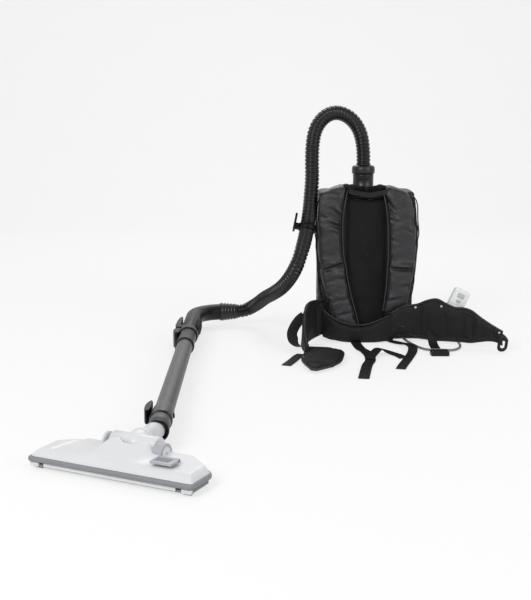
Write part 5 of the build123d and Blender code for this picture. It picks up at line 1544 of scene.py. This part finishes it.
back_panel("lid_raised_panel", 62, 218, 310, 2.2, teal_plastic, "teal_shell", corner=14.0)
for layer in (-80, 80):
    back_panel("lid_flute_%d" % layer, 7, 226, 296, 1.6, black_plastic, "black_shell", corner=6.9)

# %% [markdown]
# The control box has a paler cap, a parting groove and a small slot. The groove and the slot are painted
# shade: a grey strip and a black tile that stand a little proud. The cable enters through a tapered
# relief at each end.

# %% Control box details and strain reliefs
box_turn = math.radians(25)
box_up = Vector((math.sin(box_turn), 0, math.cos(box_turn)))
box_right = Vector((math.cos(box_turn), 0, -math.sin(box_turn)))
box_middle = Vector((209, -123.4, 98))


def box_tile(name, corners, rise, material, slot, edge):
    """Small tile on the control box's front; corners (x0, x1, y0, y1) in mm from its middle."""
    spots = [box_middle + box_right * x + box_up * y + Vector((0, -out, 0))
             for out in (-1.0, rise) for x, y in oblong(*corners)]
    return finish(block(name, spots, edge), "pack", material, slot)


# painted shade: the groove is a grey strip in the colour, not cut in
box_tile("control_groove", (-18.6, 18.6, -3.6, -2.8), 0.15, key_plastic, "control", 0.1)
# painted shade: the slot is a black tile in the colour, not cut in
box_tile("control_lamp_slot", (7.5, 14.5, -12.2, -9.6), 0.3, black_plastic, "key", 0.2)
relief_profile = [(3.05, 0), (6.0, 0), (6.2, 1.5), (5.2, 2.2), (5.2, 5), (5.6, 5.6), (4.7, 6.6), (4.7, 9.4),
                  (5.1, 10), (4.3, 11), (4.3, 14), (4.6, 14.6), (3.8, 16), (3.6, 21), (3.05, 21.5)]
for name, spot, way in (("cable_relief_pack", (84, -50.2, 14), (0, -1, 0)),
                        ("cable_relief_box", (195.05, -113.4, 68.6), -box_up)):
    turn_part(name, "pack", cable_skin, "cable", frame_along(spot, way), relief_profile, sides=28)


# %% [markdown]
# ## Floor and light
# A pale floor runs up into a backdrop. Camera rays see it nearly white, through Light Path, while the
# object's soft shadow stays.

# %% Floor and backdrop
own_glow = 0.7  # the rest of the stage's brightness is lamp light, so that shadows stay


def pale_stage():
    """Pale paint that camera, mirror and glass rays see nearly white."""
    material, tree, bsdf = shader("pale_stage", srgb(238, 238, 238), 0.9, spec=0.0)
    ray = wire(tree, "ShaderNodeLightPath")
    seen = wire(tree, "ShaderNodeMath", {"operation": "MAXIMUM"}, in_0=ray.outputs["Is Camera Ray"],
                in_1=ray.outputs["Is Glossy Ray"])
    seen = wire(tree, "ShaderNodeMath", {"operation": "MAXIMUM"}, in_0=seen.outputs[0],
                in_1=ray.outputs["Is Transmission Ray"])
    share = wire(tree, "ShaderNodeMath", {"operation": "MULTIPLY"}, in_0=seen.outputs[0], in_1=own_glow)
    glow = wire(tree, "ShaderNodeEmission", Color=(1, 1, 1, 1), Strength=1.0)
    both = wire(tree, "ShaderNodeMixShader", in_0=share.outputs[0], in_1=bsdf.outputs["BSDF"],
                in_2=glow.outputs["Emission"])
    tree.links.new(both.outputs["Shader"], tree.nodes["Material Output"].inputs["Surface"])
    return material


bend_y, bend_r = 2.2, 0.8
sweep = [(-4.2, 0.0), (bend_y, 0.0)]
sweep += [(bend_y + bend_r * math.sin(a), bend_r - bend_r * math.cos(a))
          for a in (0.3, 0.6, 0.9, 1.2, math.pi / 2)]
sweep += [(bend_y + bend_r, 4.5)]
stage_verts = [(x, y, z) for y, z in sweep for x in (-5.0, 5.0)]
stage_faces = [(2 * i, 2 * i + 1, 2 * i + 3, 2 * i + 2) for i in range(len(sweep) - 1)]
floor = mesh_object("floor_and_backdrop", stage_verts, stage_faces)
floor.data.materials.append(pale_stage())


# %% [markdown]
# Three large soft lamps light the machine from both sides and from behind.

# %% Lamps
def lamp(name, place, size, power):
    """Soft round lamp at a place in metres that looks at the middle of the machine."""
    data = bpy.data.lights.new(name, "AREA")
    data.shape = "DISK"
    data.size = size
    data.energy = power
    obj = new_object(name, data)
    obj.location = place
    obj.rotation_euler = (machine_middle - Vector(place)).to_track_quat("-Z", "Y").to_euler()


machine_middle = Vector((-0.25, -0.35, 0.15))
lamp("key_lamp", (-1.7, -2.7, 2.0), 1.6, 52.0)
lamp("fill_lamp", (2.1, -1.9, 1.4), 1.8, 24.0)
lamp("back_lamp", (-0.2, 1.9, 2.3), 1.6, 22.0)

# %% [markdown]
# The world is pale. Camera rays see it white; as a light it is dimmer, so that the lamps shape the parts.

# %% World
world = bpy.data.worlds.new("pale_world")
scene.world = world
world.use_nodes = True
sky = world.node_tree
dim = sky.nodes["Background"]
dim.inputs["Color"].default_value = (1, 1, 1, 1)
dim.inputs["Strength"].default_value = 0.5
bright = wire(sky, "ShaderNodeBackground", Color=(1, 1, 1, 1), Strength=1.0)
ray = wire(sky, "ShaderNodeLightPath")
seen = wire(sky, "ShaderNodeMath", {"operation": "MAXIMUM"}, in_0=ray.outputs["Is Camera Ray"],
            in_1=ray.outputs["Is Transmission Ray"])
choice = wire(sky, "ShaderNodeMixShader", in_0=seen.outputs[0], in_1=dim.outputs[0],
              in_2=bright.outputs[0])
sky.links.new(choice.outputs[0], sky.nodes["World Output"].inputs["Surface"])
